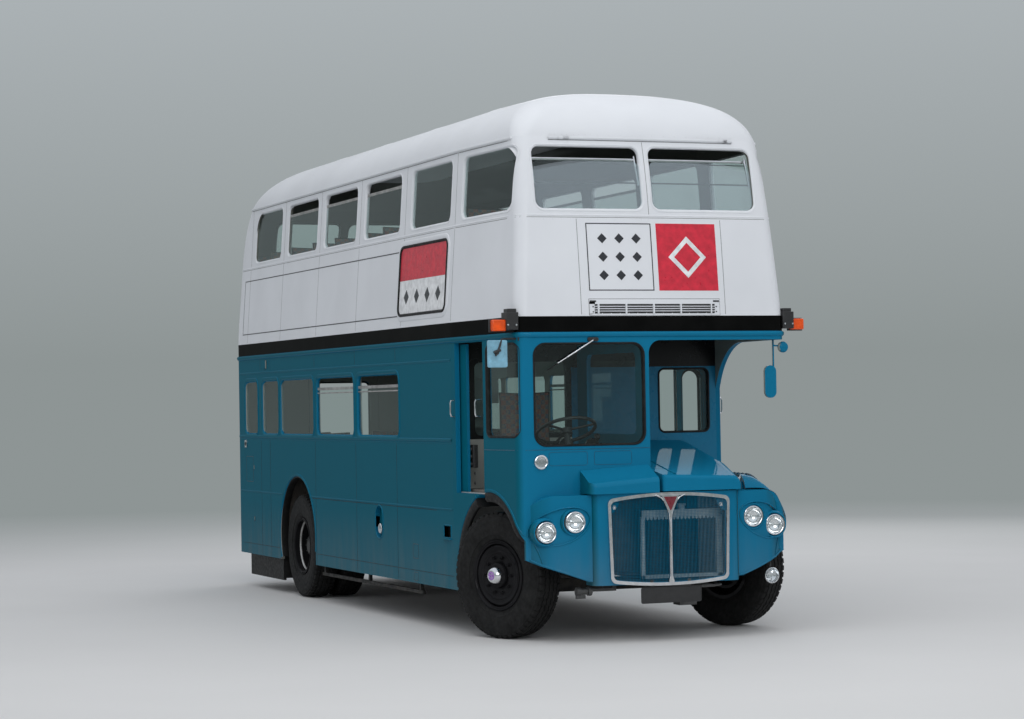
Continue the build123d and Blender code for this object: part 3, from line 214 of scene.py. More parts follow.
def coach_paint(name, color, dust=0.22, inside=None, gloss=0.16, roughness=0.19, shaded_flank=None):
    """Gloss coach paint, dusty at the skirt; the inner faces take the inside colour, and faces that look sideways
    take a darker side colour as painted shade.
    """
    m = Nodes(name, color, roughness)
    m.set(Specular_IOR_Level=0.0, Coat_Weight=gloss, Coat_Roughness=0.05)
    paint = m.blend(m.patches(1.6, 0.35, 0.65), shade(color, 0.975), shade(color, 1.025))
    # painted shade: faces that look sideways blend into the darker side petrol
    if shaded_flank:
        side_shade_share = m.ramp(m.math("ABSOLUTE", m.normal("X")), 0.45, 0.9, 0.0, 1.0)
        paint = m.blend(side_shade_share, paint, shaded_flank)
    low = m.ramp(m.axis("Z"), 0.35, 0.9, dust, 0.0)
    streaks = m.ramp(m.noise(9, 5, (1, 1, 0.15)), 0.35, 0.7, 0.2, 1.0)
    dirt = m.math("MULTIPLY", low, streaks)
    paint = m.blend(dirt, paint, DUST)
    if inside:
        paint = m.blend(m.inward(), paint, inside)
    m.color(paint)
    uneven = m.ramp(m.noise(3), 0.35, 0.65, roughness - 0.03, roughness + 0.03)
    m.roughness(m.math("ADD", uneven, m.math("MULTIPLY", dirt, 0.9)))
    m.bump(m.noise(9, 1), 0.0012, 0.12)
    return m.material


def black_paint(name, color=(0.003, 0.003, 0.003), roughness=0.3):
    m = Nodes(name, color, roughness)
    m.set(Specular_IOR_Level=0.0, Coat_Weight=0.15, Coat_Roughness=0.08)
    m.mottle((5, 0.4, 0.7), color, shade(color, 1.7))
    m.uneven(20, roughness - 0.04, roughness + 0.08)
    m.bump(m.noise(10, 1), 0.001, 0.12)
    return m.material


def chrome(name, color, roughness):
    m = Nodes(name, color, roughness, 1.0)
    m.mottle((8, 0.35, 0.7), shade(color, 0.88), shade(color, 1.08))
    m.uneven(30, roughness - 0.06, roughness + 0.08)
    m.bump(m.noise(120, 2), 0.0002, 0.15)
    return m.material


def satin_metal(name, color, roughness, scale=40):
    """Dull metal with blotches and a slight grain."""
    m = Nodes(name, color, roughness, 0.85)
    m.mottle((scale / 4, 0.3, 0.7), shade(color, 0.7), shade(color, 1.25))
    m.uneven(scale, roughness - 0.1, roughness + 0.15)
    m.bump(m.noise(scale * 3, 3), 0.0006, 0.4)
    return m.material


def chassis_black():
    m = Nodes("chassis_black", (0.022, 0.021, 0.02), 0.6)
    m.set(Specular_IOR_Level=0.3)
    m.mottle((7, 0.4, 0.7, 5), (0.01, 0.01, 0.01), (0.045, 0.04, 0.034))
    m.uneven(25, 0.5, 0.85)
    m.bump(m.noise(90, 4), 0.001, 0.4)
    return m.material


def rusty():
    m = Nodes("rusty_steel", (0.2, 0.13, 0.09), 0.7, 0.3)
    m.mottle((14, 0.4, 0.62, 6), (0.2, 0.19, 0.18), (0.22, 0.09, 0.04))
    m.uneven(30, 0.55, 0.9)
    m.bump(m.noise(110, 4), 0.0012, 0.5)
    return m.material


def rubber(name, color, roughness):
    m = Nodes(name, color, roughness)
    m.set(Specular_IOR_Level=0.3)
    m.mottle((12, 0.35, 0.7, 4), shade(color, 0.8), shade(color, 2.0))
    m.uneven(35, roughness - 0.12, roughness + 0.15)
    m.bump(m.noise(160, 3), 0.0005, 0.4)
    return m.material


def glazing(name="window_glass", tint=(0.88, 0.93, 0.92), flutes=0, doubled_glass_reflection=0.0):
    """Clear glass, glossy by angle; flutes for a lamp, and a pale painted reflection on the doubled glass of the
    lowered front panes.
    """
    m = Nodes(name, tint, 0.03)
    clear = m.new("BsdfTransparent", Color=(*tint, 1))
    gloss = m.new("BsdfGlossy", Roughness=0.03, Color=(0.9, 0.95, 0.95, 1))
    slant = m.math("POWER", m.new("LayerWeight").outputs["Facing"], 5)
    share = m.math("ADD", m.math("MULTIPLY", slant, 0.55), 0.03)
    glass = mixed(m.tree, share, clear.outputs["BSDF"], gloss.outputs["BSDF"])
    # painted reflection: a pale sky-blue diffuse veil over the doubled glass, ahead of the saloon and below the
    # lowered panes' upper edge
    if doubled_glass_reflection:
        pale_reflection = m.new("BsdfDiffuse", Color=(0.56, 0.63, 0.7, 1))
        ahead = m.math("LESS_THAN", m.axis("Y"), back(-0.56))
        lowered = m.math("LESS_THAN", m.axis("Z"), LOWERED_GLASS)
        reflection_share = m.math("MULTIPLY", m.math("MULTIPLY", ahead, lowered), doubled_glass_reflection)
        glass = mixed(m.tree, reflection_share, glass, pale_reflection.outputs["BSDF"])
    if flutes:
        bump = m.new("Bump", Distance=0.002)
        m.link(m.wave(flutes), bump.inputs["Height"])
        m.link(bump.outputs["Normal"], gloss.inputs["Normal"])
    m.surface(glass)
    m.tree.nodes.remove(m.shader)
    return m.material


def floor_covering():
    m = Nodes("ribbed_floor", (0.12, 0.11, 0.1), 0.7)
    m.mottle((6, 0.3, 0.7, 4), (0.1, 0.09, 0.08), (0.21, 0.19, 0.17))
    m.uneven(20, 0.55, 0.85)
    m.bump(m.wave(16), 0.003, 0.6)
    return m.material


def moquette():
    """Cut-pile seat cloth: a small checked pattern in dull red and blue with sheen."""
    m = Nodes("moquette", (0.12, 0.04, 0.035), 0.9)
    m.set(Sheen_Weight=0.4, Sheen_Roughness=0.5)
    checks = m.new("TexChecker", Scale=26, Color1=(0.16, 0.035, 0.03, 1), Color2=(0.035, 0.05, 0.085, 1))
    m.link(m.place, checks.inputs["Vector"])
    m.mottle((60, 0.4, 0.7, 4), checks.outputs["Color"], (0.16, 0.13, 0.08))
    m.uneven(90, 0.8, 0.98)
    m.bump(m.noise(600, 2), 0.001, 0.6)
    return m.material


def plastic(name, color, roughness=0.4):
    m = Nodes(name, color, roughness)
    m.mottle((18, 0.35, 0.7), shade(color, 0.85), shade(color, 1.15))
    m.uneven(40, roughness - 0.08, roughness + 0.1)
    m.bump(m.noise(200, 2), 0.0003, 0.3)
    return m.material


MATERIALS = {
    "body_paint": coach_paint("petrol_paint", PETROL, inside=LINING, gloss=0.2, shaded_flank=SHADED_SIDE_PETROL),
    # The cream panels' inner faces take the lining darkened to 45 %, as painted shade of the upper saloon
    "upper_paint": coach_paint("cream_paint", CREAM, inside=shade(LINING, 0.45)),
    "black_paint": black_paint("black_gloss"),
    "interior_paint": coach_paint("interior_enamel", ENAMEL, dust=0.1),
    "chassis_paint": chassis_black(),
    "wheel_paint": black_paint("wheel_black", (0.01, 0.01, 0.011), 0.32),
    "bright_trim": chrome("bright_plate", (0.74, 0.75, 0.77), 0.14),
    "cast_metal": satin_metal("cast_metal", (0.1, 0.1, 0.1), 0.6),
    "rusty_steel": rusty(),
    "radiator_core": satin_metal("radiator_core", (0.06, 0.058, 0.055), 0.6, 120),
    "window_glass": glazing(),
    "lamp_lens": glazing(),
    "amber_plastic": plastic("amber_lens", (0.8, 0.085, 0.006), 0.2),
    "black_plastic": plastic("black_plastic", (0.02, 0.02, 0.021)),
    "black_rubber": rubber("black_rubber", (0.006, 0.006, 0.006), 0.62),
    "seam": plastic("seam_shadow", (0.16, 0.165, 0.17), 0.6),
    "dull_plate": satin_metal("dull_plate", (0.42, 0.41, 0.4), 0.45),
    "reflector": chrome("reflector", (0.86, 0.87, 0.88), 0.08),
    "fluted_glass": glazing("fluted_glass", (0.93, 0.95, 0.95), 60),
    "red_lens": plastic("red_lens", (0.42, 0.01, 0.012), 0.2),
    "dark_red": plastic("dark_red_enamel", (0.16, 0.018, 0.028), 0.3),
    "mesh_paint": coach_paint("mesh_paint", shade(PETROL, 0.8)),
    "hub_violet": plastic("hub_violet", (0.34, 0.17, 0.5), 0.25),
    "sign_dark": plastic("sign_dark", (0.02, 0.022, 0.028), 0.35),
    "sign_red": plastic("sign_red", (0.58, 0.016, 0.04), 0.35),
    "sign_white": plastic("sign_white", (0.74, 0.75, 0.77), 0.35),
    "pale_blue": plastic("pale_blue", (0.2, 0.42, 0.55), 0.3),
    "petrol_shadow": plastic("petrol_shadow", shade(PETROL, 0.45), 0.4),
    "pale_enamel": plastic("pale_enamel", (0.36, 0.42, 0.44), 0.5),
    "tyre_rubber": rubber("tyre_rubber", (0.006, 0.006, 0.006), 0.8),
    "floor_covering": floor_covering(),
    "seat_cloth": moquette(),
}


def bulkhead_paint():
    """Petrol ahead of the saloon, with black above its window as painted shadow under the canopy; black over grey
    beside the cab doorway.
    """
    m = Nodes("bulkhead_enamel", LINING, 0.3)
    m.set(Specular_IOR_Level=0.3)
    black = (0.006, 0.006, 0.007)
    forward = m.math("LESS_THAN", m.normal("Y"), -0.5)
    outward = m.math("LESS_THAN", m.normal("X"), -0.5)
    offside = m.math("LESS_THAN", m.axis("X"), -0.15)
    cab_side = m.blend(m.math("GREATER_THAN", m.axis("Z"), 1.571), (0.4, 0.4, 0.38), black)
    # painted shadow: black above 2.15 m stands for the shade under the canopy; petrol below
    canopy_petrol_and_shadow = m.blend(m.math("GREATER_THAN", m.axis("Z"), 2.15), PETROL, black)
    shown = m.math("MAXIMUM", forward, outward)
    m.color(m.blend(shown, ENAMEL, m.blend(offside, canopy_petrol_and_shadow, cab_side)))
    m.roughness(m.ramp(m.noise(5), 0.35, 0.65, 0.24, 0.34))
    m.bump(m.noise(9, 1), 0.001, 0.12)
    return m.material


OTHER_MATERIALS = {
    "upper_glass": glazing("upper_glass", doubled_glass_reflection=0.2),
    "bonnet": coach_paint("bonnet_paint", shade(PETROL, 1.05), inside=LINING, gloss=0.15, roughness=0.3),
    "front_bulkhead": bulkhead_paint(),
}
# The entrance leaves take the sides' painted-shade petrol all over
LEAF_PAINT = coach_paint("leaf_enamel", SHADED_SIDE_PETROL, inside=(0.5, 0.52, 0.5), gloss=0.2)
LEAVES = ("leaf_front_a", "leaf_front_b", "leaf_rear_a", "leaf_rear_b")
OTHER_MATERIALS.update({leaf: LEAF_PAINT for leaf in LEAVES})


def paint_frame():
    """Each CAD node takes its own material or its slot's."""
    for part in frame["record"]["subparts"]:
        node = NODES[part["node"]]
        slot_material = MATERIALS[part["material_slot"]]
        node.data.materials.clear()
        node.data.materials.append(OTHER_MATERIALS.get(part["node"], slot_material))


paint_frame()


# Shapes

UP = Vector((0, 0, 1))
AHEAD = Vector((0, -1, 0))
ASTERN = Vector((0, 1, 0))
NEARSIDE = Vector((1, 0, 0))
# Faces of the body: the front, the rear, and -1 or 1 for a side. OUT leads away from each, ACROSS along it.
OUT = {"front": AHEAD, "rear": ASTERN, -1: -NEARSIDE, 1: NEARSIDE}
ACROSS = {"front": NEARSIDE, "rear": NEARSIDE, -1: ASTERN, 1: ASTERN}


def evenly(low, high, count):
    """Values from low to high in equal steps."""
    return [low + (high - low) * k / count for k in range(count + 1)]


def turns(count):
    """Angles of equal shares of one turn."""
    return [2 * pi * k / count for k in range(count)]


def circle(centre, first, second, radius, count):
    """Points round a centre, in the plane of two directions."""
    return [centre + (first * cos(a) + second * sin(a)) * radius for a in turns(count)]


def way(path, i, closed):
    """From the point before to the point after; an open path ends at its own ends."""
    count = len(path)
    before = path[(i - 1) % count] if closed or i else path[i]
    after = path[(i + 1) % count] if closed or i < count - 1 else path[i]
    return after - before


class Shape:
    """Vertices and faces of one piece while it is being made."""

    def __init__(self):
        self.points = []
        self.faces = []

    def add(self, points, faces):
        first = len(self.points)
        self.points += [Vector(point) for point in points]
        self.faces += [[first + index for index in face] for face in faces]

    def grid(self, rows, closed_rows=False, closed_columns=False):
        """Quads between rows of points."""
        count, width = len(rows), len(rows[0])
        faces = []
        for i in range(count if closed_rows else count - 1):
            for j in range(width if closed_columns else width - 1):
                k, m = (i + 1) % count, (j + 1) % width
                faces.append((i * width + j, i * width + m, k * width + m, k * width + j))
        self.add([point for row in rows for point in row], faces)

    def cap(self, row):
        self.add(row, [range(len(row))])

    def sweep(self, path, outs, sides, profile, closed=False):
        """Open profile (across, out) along a path; each direction is one for all points or a list."""
        if isinstance(outs, Vector):
            outs = [outs] * len(path)
        if isinstance(sides, Vector):
            sides = [sides] * len(path)
        rows = [[point + side * across + out * height for across, height in profile]
                for point, out, side in zip(path, outs, sides)]
        self.grid(rows, closed_rows=closed)

    def tube(self, path, radius, sides=8, closed=False):
        """Round bar through the points."""
        path = [Vector(point) for point in path]
        rows = []
        normal = None
        for i, point in enumerate(path):
            along = way(path, i, closed).normalized()
            if normal is None:
                normal = along.orthogonal().normalized()
            normal = (normal - along * normal.dot(along)).normalized()
            rows.append(circle(point, normal, along.cross(normal), radius, sides))
        self.grid(rows, closed_rows=closed, closed_columns=True)
        if not closed:
            self.cap(rows[0][::-1])
            self.cap(rows[-1])

    def lathe(self, profile, origin, axis, steps=36):
        """Profile of (along the axis, radius) turned about it."""
        axis = Vector(axis).normalized()
        first = axis.orthogonal().normalized()
        second = axis.cross(first)
        rows = [circle(Vector(origin) + axis * along, first, second, radius, steps)
                for along, radius in profile]
        self.grid(rows, closed_columns=True)

    def block(self, low, high):
        """Block between two opposite corners."""
        x, y, z = zip(low, high)
        corners = [(x[i], y[j], z[k]) for k in (0, 1) for j in (0, 1) for i in (0, 1)]
        faces = [(0, 2, 3, 1), (4, 5, 7, 6), (0, 1, 5, 4), (2, 6, 7, 3), (0, 4, 6, 2), (1, 3, 7, 5)]
        self.add(corners, faces)

    def slab(self, outline, depth):
        """Flat outline thickened by a vector."""
        outline = [Vector(point) for point in outline]
        moved = [point + Vector(depth) for point in outline]
        count = len(outline)
        faces = [range(count)[::-1], range(count, 2 * count)]
        faces += [(i, (i + 1) % count, count + (i + 1) % count, count + i) for i in range(count)]
        self.add(outline + moved, faces)

    def piece(self, name, slot, body="body", round_edges=0.0, flat=30, material=None, doubles=True):
        """Becomes a named piece that rides on a body."""
        mesh = bpy.data.meshes.new(name)
        mesh.from_pydata(self.points, [], self.faces)
        work = bmesh.new()
        work.from_mesh(mesh)
        if doubles:
            bmesh.ops.remove_doubles(work, verts=work.verts, dist=0.00002)
        bmesh.ops.recalc_face_normals(work, faces=work.faces)
        work.to_mesh(mesh)
        work.free()
        mesh.materials.append(material or MATERIALS[slot])
        mesh.shade_smooth()
        mesh.set_sharp_from_angle(angle=radians(flat))
        item = bpy.data.objects.new(name, mesh)
        bpy.context.scene.collection.objects.link(item)
        if round_edges:
            bevel = item.modifiers.new("round", "BEVEL")
            bevel.width = round_edges
            bevel.segments = 2
            bevel.limit_method = "ANGLE"
            bevel.angle_limit = radians(40)
        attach(item, body)
        return item


def rounded_rectangle(a0, a1, b0, b1, radius, steps=6, run=6):
    """Loop of (a, b) points with its outward direction at each."""
    loop = []
    corners = ((a1 - radius, b1 - radius, 0), (a0 + radius, b1 - radius, 90),
               (a0 + radius, b0 + radius, 180), (a1 - radius, b0 + radius, 270))
    for number, (a, b, start) in enumerate(corners):
        for k in range(steps + 1):
            angle = radians(start + 90 * k / steps)
            loop.append((a + radius * cos(angle), b + radius * sin(angle), cos(angle), sin(angle)))
        a_next, b_next, _ = corners[(number + 1) % 4]
        u, v = loop[-1][2:]
        for k in range(1, run):
            a_here, b_here = a + (a_next - a) * k / run, b + (b_next - b) * k / run
            loop.append((a_here + radius * u, b_here + radius * v, u, v))
    return loop


def skin(*names):
    """Ray-casting tree over CAD nodes."""
    points, faces = [], []
    for name in names:
        node = NODES[name]
        first = len(points)
        points += [node.matrix_world @ vertex.co for vertex in node.data.vertices]
        faces += [[first + index for index in polygon.vertices] for polygon in node.data.polygons]
    return BVHTree.FromPolygons(points, faces)


LOWER_SKIN = skin("lower_side_left", "lower_side_right", "lower_rear", "rear_door", "cab_shell", "wing_left",
                  "wing_right")
UPPER_SKIN = skin("upper_side_left", "upper_side_right", "upper_front", "upper_rear", "roof", "deck_floor")
FAR = 3.0


def on_side(tree, side, y, z, fallback=None):
    """Point of the skin seen from one side."""
    point = tree.ray_cast(Vector((side * FAR, y, z)), Vector((-side, 0, 0)))[0]
    return point or fallback


def on_front(tree, x, z, fallback=None):
    point = tree.ray_cast(Vector((x, -2 * FAR, z)), Vector((0, 1, 0)))[0]
    return point or fallback


def on_rear(tree, x, z, fallback=None):
    point = tree.ray_cast(Vector((x, 2 * FAR, z)), Vector((0, -1, 0)))[0]
    return point or fallback


def on_skin(tree, face, a, b, fallback=None):
    """Point of the skin on a face: (x, z) at the front and rear, (y, z) at a side."""
    if face == "front":
        return on_front(tree, a, b, fallback)
    if face == "rear":
        return on_rear(tree, a, b, fallback)
    return on_side(tree, face, a, b, fallback)


def across_loop(y, a0, a1, b0, b1, radius, steps, run):
    """Rounded rectangle that stands across the bus."""
    return [Vector((a, y, b)) for a, b, _, _ in rounded_rectangle(a0, a1, b0, b1, radius, steps, run)]


def along_loop(x, a0, a1, b0, b1, radius, steps, run):
    """Rounded rectangle that stands along the bus, between two values of Y."""
    return [Vector((x, a, b)) for a, b, _, _ in rounded_rectangle(a0, a1, b0, b1, radius, steps, run)]


def outwards(path, closed):
    """Level outward direction at each point of a path that runs round the body, seen from its middle."""
    outs = []
    for i, point in enumerate(path):
        along = way(path, i, closed)
        out = Vector((along.y, -along.x, 0)).normalized()
        middle = Vector((0, max(-3.0, min(3.0, point.y)), 0))
        if out.dot(Vector((point.x, point.y, 0)) - middle) < 0:
            out = -out
        outs.append(out)
    return outs


RING_HALF, RING_END, RING_CORNER = 1.7, 4.7, 0.9
RING_STEPS = {"side": 46, "end": 18, "corner": 12}


def corner_rays(middle, start):
    """Rays round one nearside corner, for a quarter turn from an angle in degrees."""
    rays = []
    for k in range(RING_STEPS["corner"]):
        a = radians(start + 90 * k / RING_STEPS["corner"])
        x = RING_HALF - RING_CORNER + RING_CORNER * cos(a)
        rays.append((x, middle + RING_CORNER * sin(a), -cos(a), -sin(a)))
    return rays


def ring_rays():
    """Level rays (x, y, u, v) from all round the body inwards, from the front's middle over the nearside."""
    inner, straight = RING_HALF - RING_CORNER, RING_END - RING_CORNER
    sides, ends = RING_STEPS["side"], RING_STEPS["end"]
    rays = [(inner * k / ends, -RING_END, 0, 1) for k in range(ends)]
    rays += corner_rays(-straight, -90)
    rays += [(RING_HALF, y, -1, 0) for y in evenly(-straight, straight, sides)[:-1]]
    rays += corner_rays(straight, 0)
    rays += [(inner * (1 - k / ends), RING_END, 0, -1) for k in range(ends)]
    mirrored = [(-x, y, -u, v) for x, y, u, v in rays[::-1] if x > 0]
    return rays + [(0, RING_END, 0, -1)] + mirrored


def ring(tree, level):
    """Closed path round the body at one level."""
    path = []
    for x, y, u, v in ring_rays():
        point = tree.ray_cast(Vector((x, y, level)), Vector((u, v, 0)))[0]
        if point and (not path or (point - path[-1]).length > 0.008):
            path.append(point)
    return path


def band(shape, path, profile, closed=False):
    """Moulding along a level path; profile is (up, out)."""
    shape.sweep(path, outwards(path, closed), UP, profile, closed)


def bead(width, height):
    """Half-round moulding profile."""
    return [(width / 2 * cos(a), -0.001 + (height + 0.001) * sin(a)) for a in (pi * k / 6 for k in range(7))]


def strip(width, height):
    """Flat strip with eased edges."""
    half = width / 2
    return [(half, -0.001), (half, height * 0.6), (half * 0.8, height), (-half * 0.8, height),
            (-half, height * 0.6), (-half, -0.001)]


SEAM = strip(0.004, 0.0009)


def side_run(tree, side, level, start, end, step=0.12):
    """Path along one side between two stations; holes are skipped over."""
    count = max(2, int((end - start) / step))
    path = [on_side(tree, side, back(station), level) for station in evenly(start, end, count)]
    return [point for point in path if point]


def upright_run(tree, side, station, low, high, steps=8):
    """Path up one side at a station."""
    path = [on_side(tree, side, back(station), level) for level in evenly(low, high, steps)]
    return [point for point in path if point]


def upright(shape, path, profile, face):
    """Moulding up one face."""
    shape.sweep(path, OUT[face], ACROSS[face], profile)


def rivets(shape, points, outs, radius, height):
    """Small domed heads on the skin."""
    head = [(-0.001, radius), (height * 0.5, radius * 0.85), (height, radius * 0.4), (height * 1.1, 0.0004)]
    for point, out in zip(points, outs):
        shape.lathe(head, point, out, 6)


def spaced(path, pitch):
    """Points at an even pitch along a path, with the index of the run each lies on."""
    found = []
    left = 0.0
    for i in range(len(path) - 1):
        run = path[i + 1] - path[i]
        length = run.length
        while left < length:
            found.append((path[i] + run * (left / length), i))
            left += pitch
        left -= length
    return found


# Mouldings, seams and rivets

LOWER_BAYS = ((1.949, 3.124), (3.219, 4.382), (4.482, 5.612), (5.681, 6.272), (6.446, 6.923))
LOWER_SILL, LOWER_HEAD = 1.591, 2.137
UPPER_BAYS = ((-0.51, 0.48), (0.72, 1.725), (2.005, 3.02), (3.25, 4.26), (4.475, 5.48), (5.7, 6.65))
UPPER_SILL, UPPER_HEAD = 3.365, 3.87
BAND_LOW, BAND_HIGH = 2.406, 2.528
DECK_SEAM = 3.302
GUTTER = 3.947
FRONT_PANES = ((-0.947, -0.039), (0.039, 0.947))
# Stations of the upright panel joints
PANEL_JOINTS = {-1: (2.02, 3.17, 4.43, 5.996, 6.331), 1: (3.17, 4.43, 5.996, 6.331)}
UPPER_JOINTS = (0.6, 1.865, 3.135, 4.368, 5.59, 6.8)


def body_mouldings():
    """Waist, cornice and skirt beads in the lower colour, and the seams between the lower panels."""
    lower, seams = Shape(), Shape()
    waist, cornice, skirt = bead(0.03, 0.007), bead(0.022, 0.005), bead(0.016, 0.004)
    for side in (-1, 1):
        # the offside starts behind the cab, the nearside behind the entrance
        start, low_start = (0.62, 0.62) if side < 0 else (1.95, 1.92)
        runs = ((1.568, 0.62, 7.15, waist), (1.541, 0.62, 7.15, bead(0.008, 0.002)),
                (2.222, start, 7.1, cornice), (1.0, start, 4.6, skirt), (1.0, 5.56, 7.15, skirt))
        for level, ahead, end, profile in runs:
            band(lower, side_run(LOWER_SKIN, side, level, ahead, end), profile)
        low_runs = ((0.458, low_start, 4.42), (0.458, 5.7, 7.05), (0.986, max(1.0, low_start), 4.55))
        for level, ahead, end in low_runs:
            band(seams, side_run(LOWER_SKIN, side, level, ahead, end), SEAM)
    band(lower, ring(LOWER_SKIN, BAND_LOW - 0.022),
         [(0.02, 0.0), (0.018, 0.012), (0.006, 0.018), (-0.012, 0.013), (-0.02, 0.004), (-0.022, -0.002)],
         closed=True)
    for level, profile in ((1.568, waist), (1.0, skirt), (2.3, cornice)):
        for low, high in ((-1.1, -0.41), (0.41, 1.1)):
            path = [on_rear(LOWER_SKIN, x, level) for x in evenly(low, high, 8)]
            band(lower, [point for point in path if point], profile)
    lower.piece("body_beads", "body_paint", flat=50)

    for side in (-1, 1):
        for station in PANEL_JOINTS[side]:
            for low, high in ((0.36, 0.99), (1.01, 1.53), (2.24, 2.37)):
                upright(seams, upright_run(LOWER_SKIN, side, station, low, high), SEAM, side)
    seams.piece("lower_seams", "black_rubber", flat=50)


def upper_mouldings():
    """Deck seam, gutter, joints between panels and their rivets on the upper deck."""
    cream, seams, heads = Shape(), Shape(), Shape()
    band(seams, ring(UPPER_SKIN, DECK_SEAM), SEAM, closed=True)
    band(cream, ring(UPPER_SKIN, DECK_SEAM + 0.016), bead(0.016, 0.003), closed=True)
    band(cream, ring(UPPER_SKIN, GUTTER - 0.018),
         [(-0.01, -0.002), (-0.006, 0.01), (0.0, 0.016), (0.012, 0.017), (0.016, 0.014), (0.016, 0.002)],
         closed=True)
    band(seams, ring(UPPER_SKIN, GUTTER - 0.03), strip(0.005, 0.001), closed=True)
    for level, pitch in ((GUTTER + 0.018, 0.1), (DECK_SEAM - 0.014, 0.075), (BAND_HIGH + 0.02, 0.075)):
        path = ring(UPPER_SKIN, level)
        outs = outwards(path, True)
        found = spaced(path, pitch)
        rivets(heads, [point for point, _ in found], [outs[i] for _, i in found], 0.0045, 0.0016)
    for side in (-1, 1):
        for station in UPPER_JOINTS:
            for low, high in ((2.54, 3.295), (3.33, 3.915)):
                upright(seams, upright_run(UPPER_SKIN, side, station, low, high), SEAM, side)
            path = upright_run(UPPER_SKIN, side, station + 0.016, 2.56, 3.9, 30)
            found = [point for point, _ in spaced(path, 0.06)]
            rivets(heads, found, [OUT[side]] * len(found), 0.004, 0.0014)
    for x, low, high in ((-0.62, 2.54, 3.29), (0.0, 3.33, 3.91), (0.62, 2.54, 3.29)):
        path = [on_front(UPPER_SKIN, x, z) for z in evenly(low, high, 10)]
        upright(seams, [point for point in path if point], SEAM, "front")
        if x:
            path = [on_front(UPPER_SKIN, x + 0.014, z) for z in evenly(2.56, 3.29, 12)]
            rivets(heads, path, [AHEAD] * len(path), 0.004, 0.0014)
    cream.piece("upper_beads", "upper_paint", flat=50)
    seams.piece("upper_seams", "black_plastic", flat=50, material=MATERIALS["seam"])
    heads.piece("upper_rivets", "upper_paint", flat=60, doubles=False)


# Window surrounds

def window_surround(shape, tree, face, limits, radius, profile):
    """Frame round one window of a face; profile is (beyond the edge, out)."""
    path, acrosses = [], []
    last = None
    for a, b, u, v in rounded_rectangle(*limits, radius):
        last = on_skin(tree, face, a + EDGE_MARGIN * u, b + EDGE_MARGIN * v, last)
        if face in ("front", "rear"):
            path.append(Vector((a, last.y, b)))
            acrosses.append(Vector((u, 0, v)))
        else:
            path.append(Vector((last.x, a, b)))
            acrosses.append(Vector((0, u, v)))
    shape.sweep(path, OUT[face], acrosses, profile, closed=True)


# Frame profiles
EDGE_MARGIN = 0.012
PAN = [(0.036, -0.001), (0.034, 0.004), (0.028, 0.006), (0.014, 0.006), (0.004, 0.003), (-0.004, -0.004),
       (-0.009, -0.013), (-0.011, -0.03)]
SLIM = [(0.016, -0.001), (0.014, 0.003), (0.004, 0.003), (-0.003, -0.003), (-0.007, -0.013), (-0.008, -0.03)]
GASKET = [(0.016, -0.001), (0.02, 0.004), (0.016, 0.011), (0.006, 0.013), (-0.004, 0.01), (-0.012, 0.002),
          (-0.016, -0.01), (-0.015, -0.024)]
THIN = [(0.009, -0.001), (0.01, 0.003), (0.007, 0.007), (0.002, 0.008), (-0.003, 0.006), (-0.007, 0.001),
        (-0.008, -0.03)]


def window_surrounds():
    pans, slim, gaskets = Shape(), Shape(), Shape()
    for side in (-1, 1):
        for start, end in LOWER_BAYS:
            limits = (back(start), back(end), LOWER_SILL, LOWER_HEAD)
            window_surround(pans, LOWER_SKIN, side, limits, 0.07, PAN)
        for start, end in UPPER_BAYS:
            limits = (back(start), back(end), UPPER_SILL, UPPER_HEAD)
            window_surround(slim, UPPER_SKIN, side, limits, 0.07, SLIM)
    for x0, x1 in FRONT_PANES:
        window_surround(slim, UPPER_SKIN, "front", (x0, x1, UPPER_SILL, UPPER_HEAD), 0.07, SLIM)
    for x0, x1 in ((-0.76, -0.04), (0.04, 0.76)):
        window_surround(slim, UPPER_SKIN, "rear", (x0, x1, UPPER_SILL, 3.83), 0.07, GASKET)
    window_surround(gaskets, LOWER_SKIN, "front", (-1.02, -0.104, 1.529, 2.314), 0.09, THIN)
    window_surround(gaskets, LOWER_SKIN, -1, (back(-0.69), back(-0.118), 1.6, 2.32), 0.055, THIN)
    pans.piece("lower_window_pans", "body_paint", flat=60)
    slim.piece("upper_window_frames", "upper_paint", flat=60)
    gaskets.piece("cab_gaskets", "black_rubber", flat=60)
    bulkhead, door, slide = Shape(), Shape(), Shape()
    window_surround(bulkhead, skin("front_bulkhead"), "front", (0.65, 1.11, 1.599, 2.13), 0.05, THIN)
    window_surround(door, skin("rear_door"), "rear", (-0.3, 0.3, 1.5, 2.13), 0.06, GASKET)
    window_surround(slide, skin("cab_door"), -1, (back(0.561), back(0.961), 1.61, 2.26), 0.05, SLIM)
    bulkhead.piece("bulkhead_gasket", "black_rubber", flat=60)
    door.piece("rear_door_gasket", "black_rubber", "rear_door", flat=60)
    slide.piece("cab_door_frame", "black_rubber", "cab_door", flat=60)


body_mouldings()
upper_mouldings()
window_surrounds()

# Tyres and wheels

SIDES = ((-1, "right"), (1, "left"))
KINGPIN_X, STUB, REAR_WHEEL_X = 0.87, 0.15, 1.045


def front_wheel_place(side):
    kingpin = Matrix.Translation((side * KINGPIN_X, AXLE_Y, TYRE_R))
    return kingpin @ Matrix.Rotation(STEER, 4, "Z") @ Matrix.Translation((side * STUB, 0, 0))


def rear_wheel_place(side):
    return Matrix.Translation((side * REAR_WHEEL_X, AXLE_Y + WHEELBASE, TYRE_R))


TWIN = 0.29
TREAD_UNITS = 54
TREAD_ZIGZAG = 0.005
NOTCH_DEPTH, NOTCH_FROM = 0.011, 0.0915
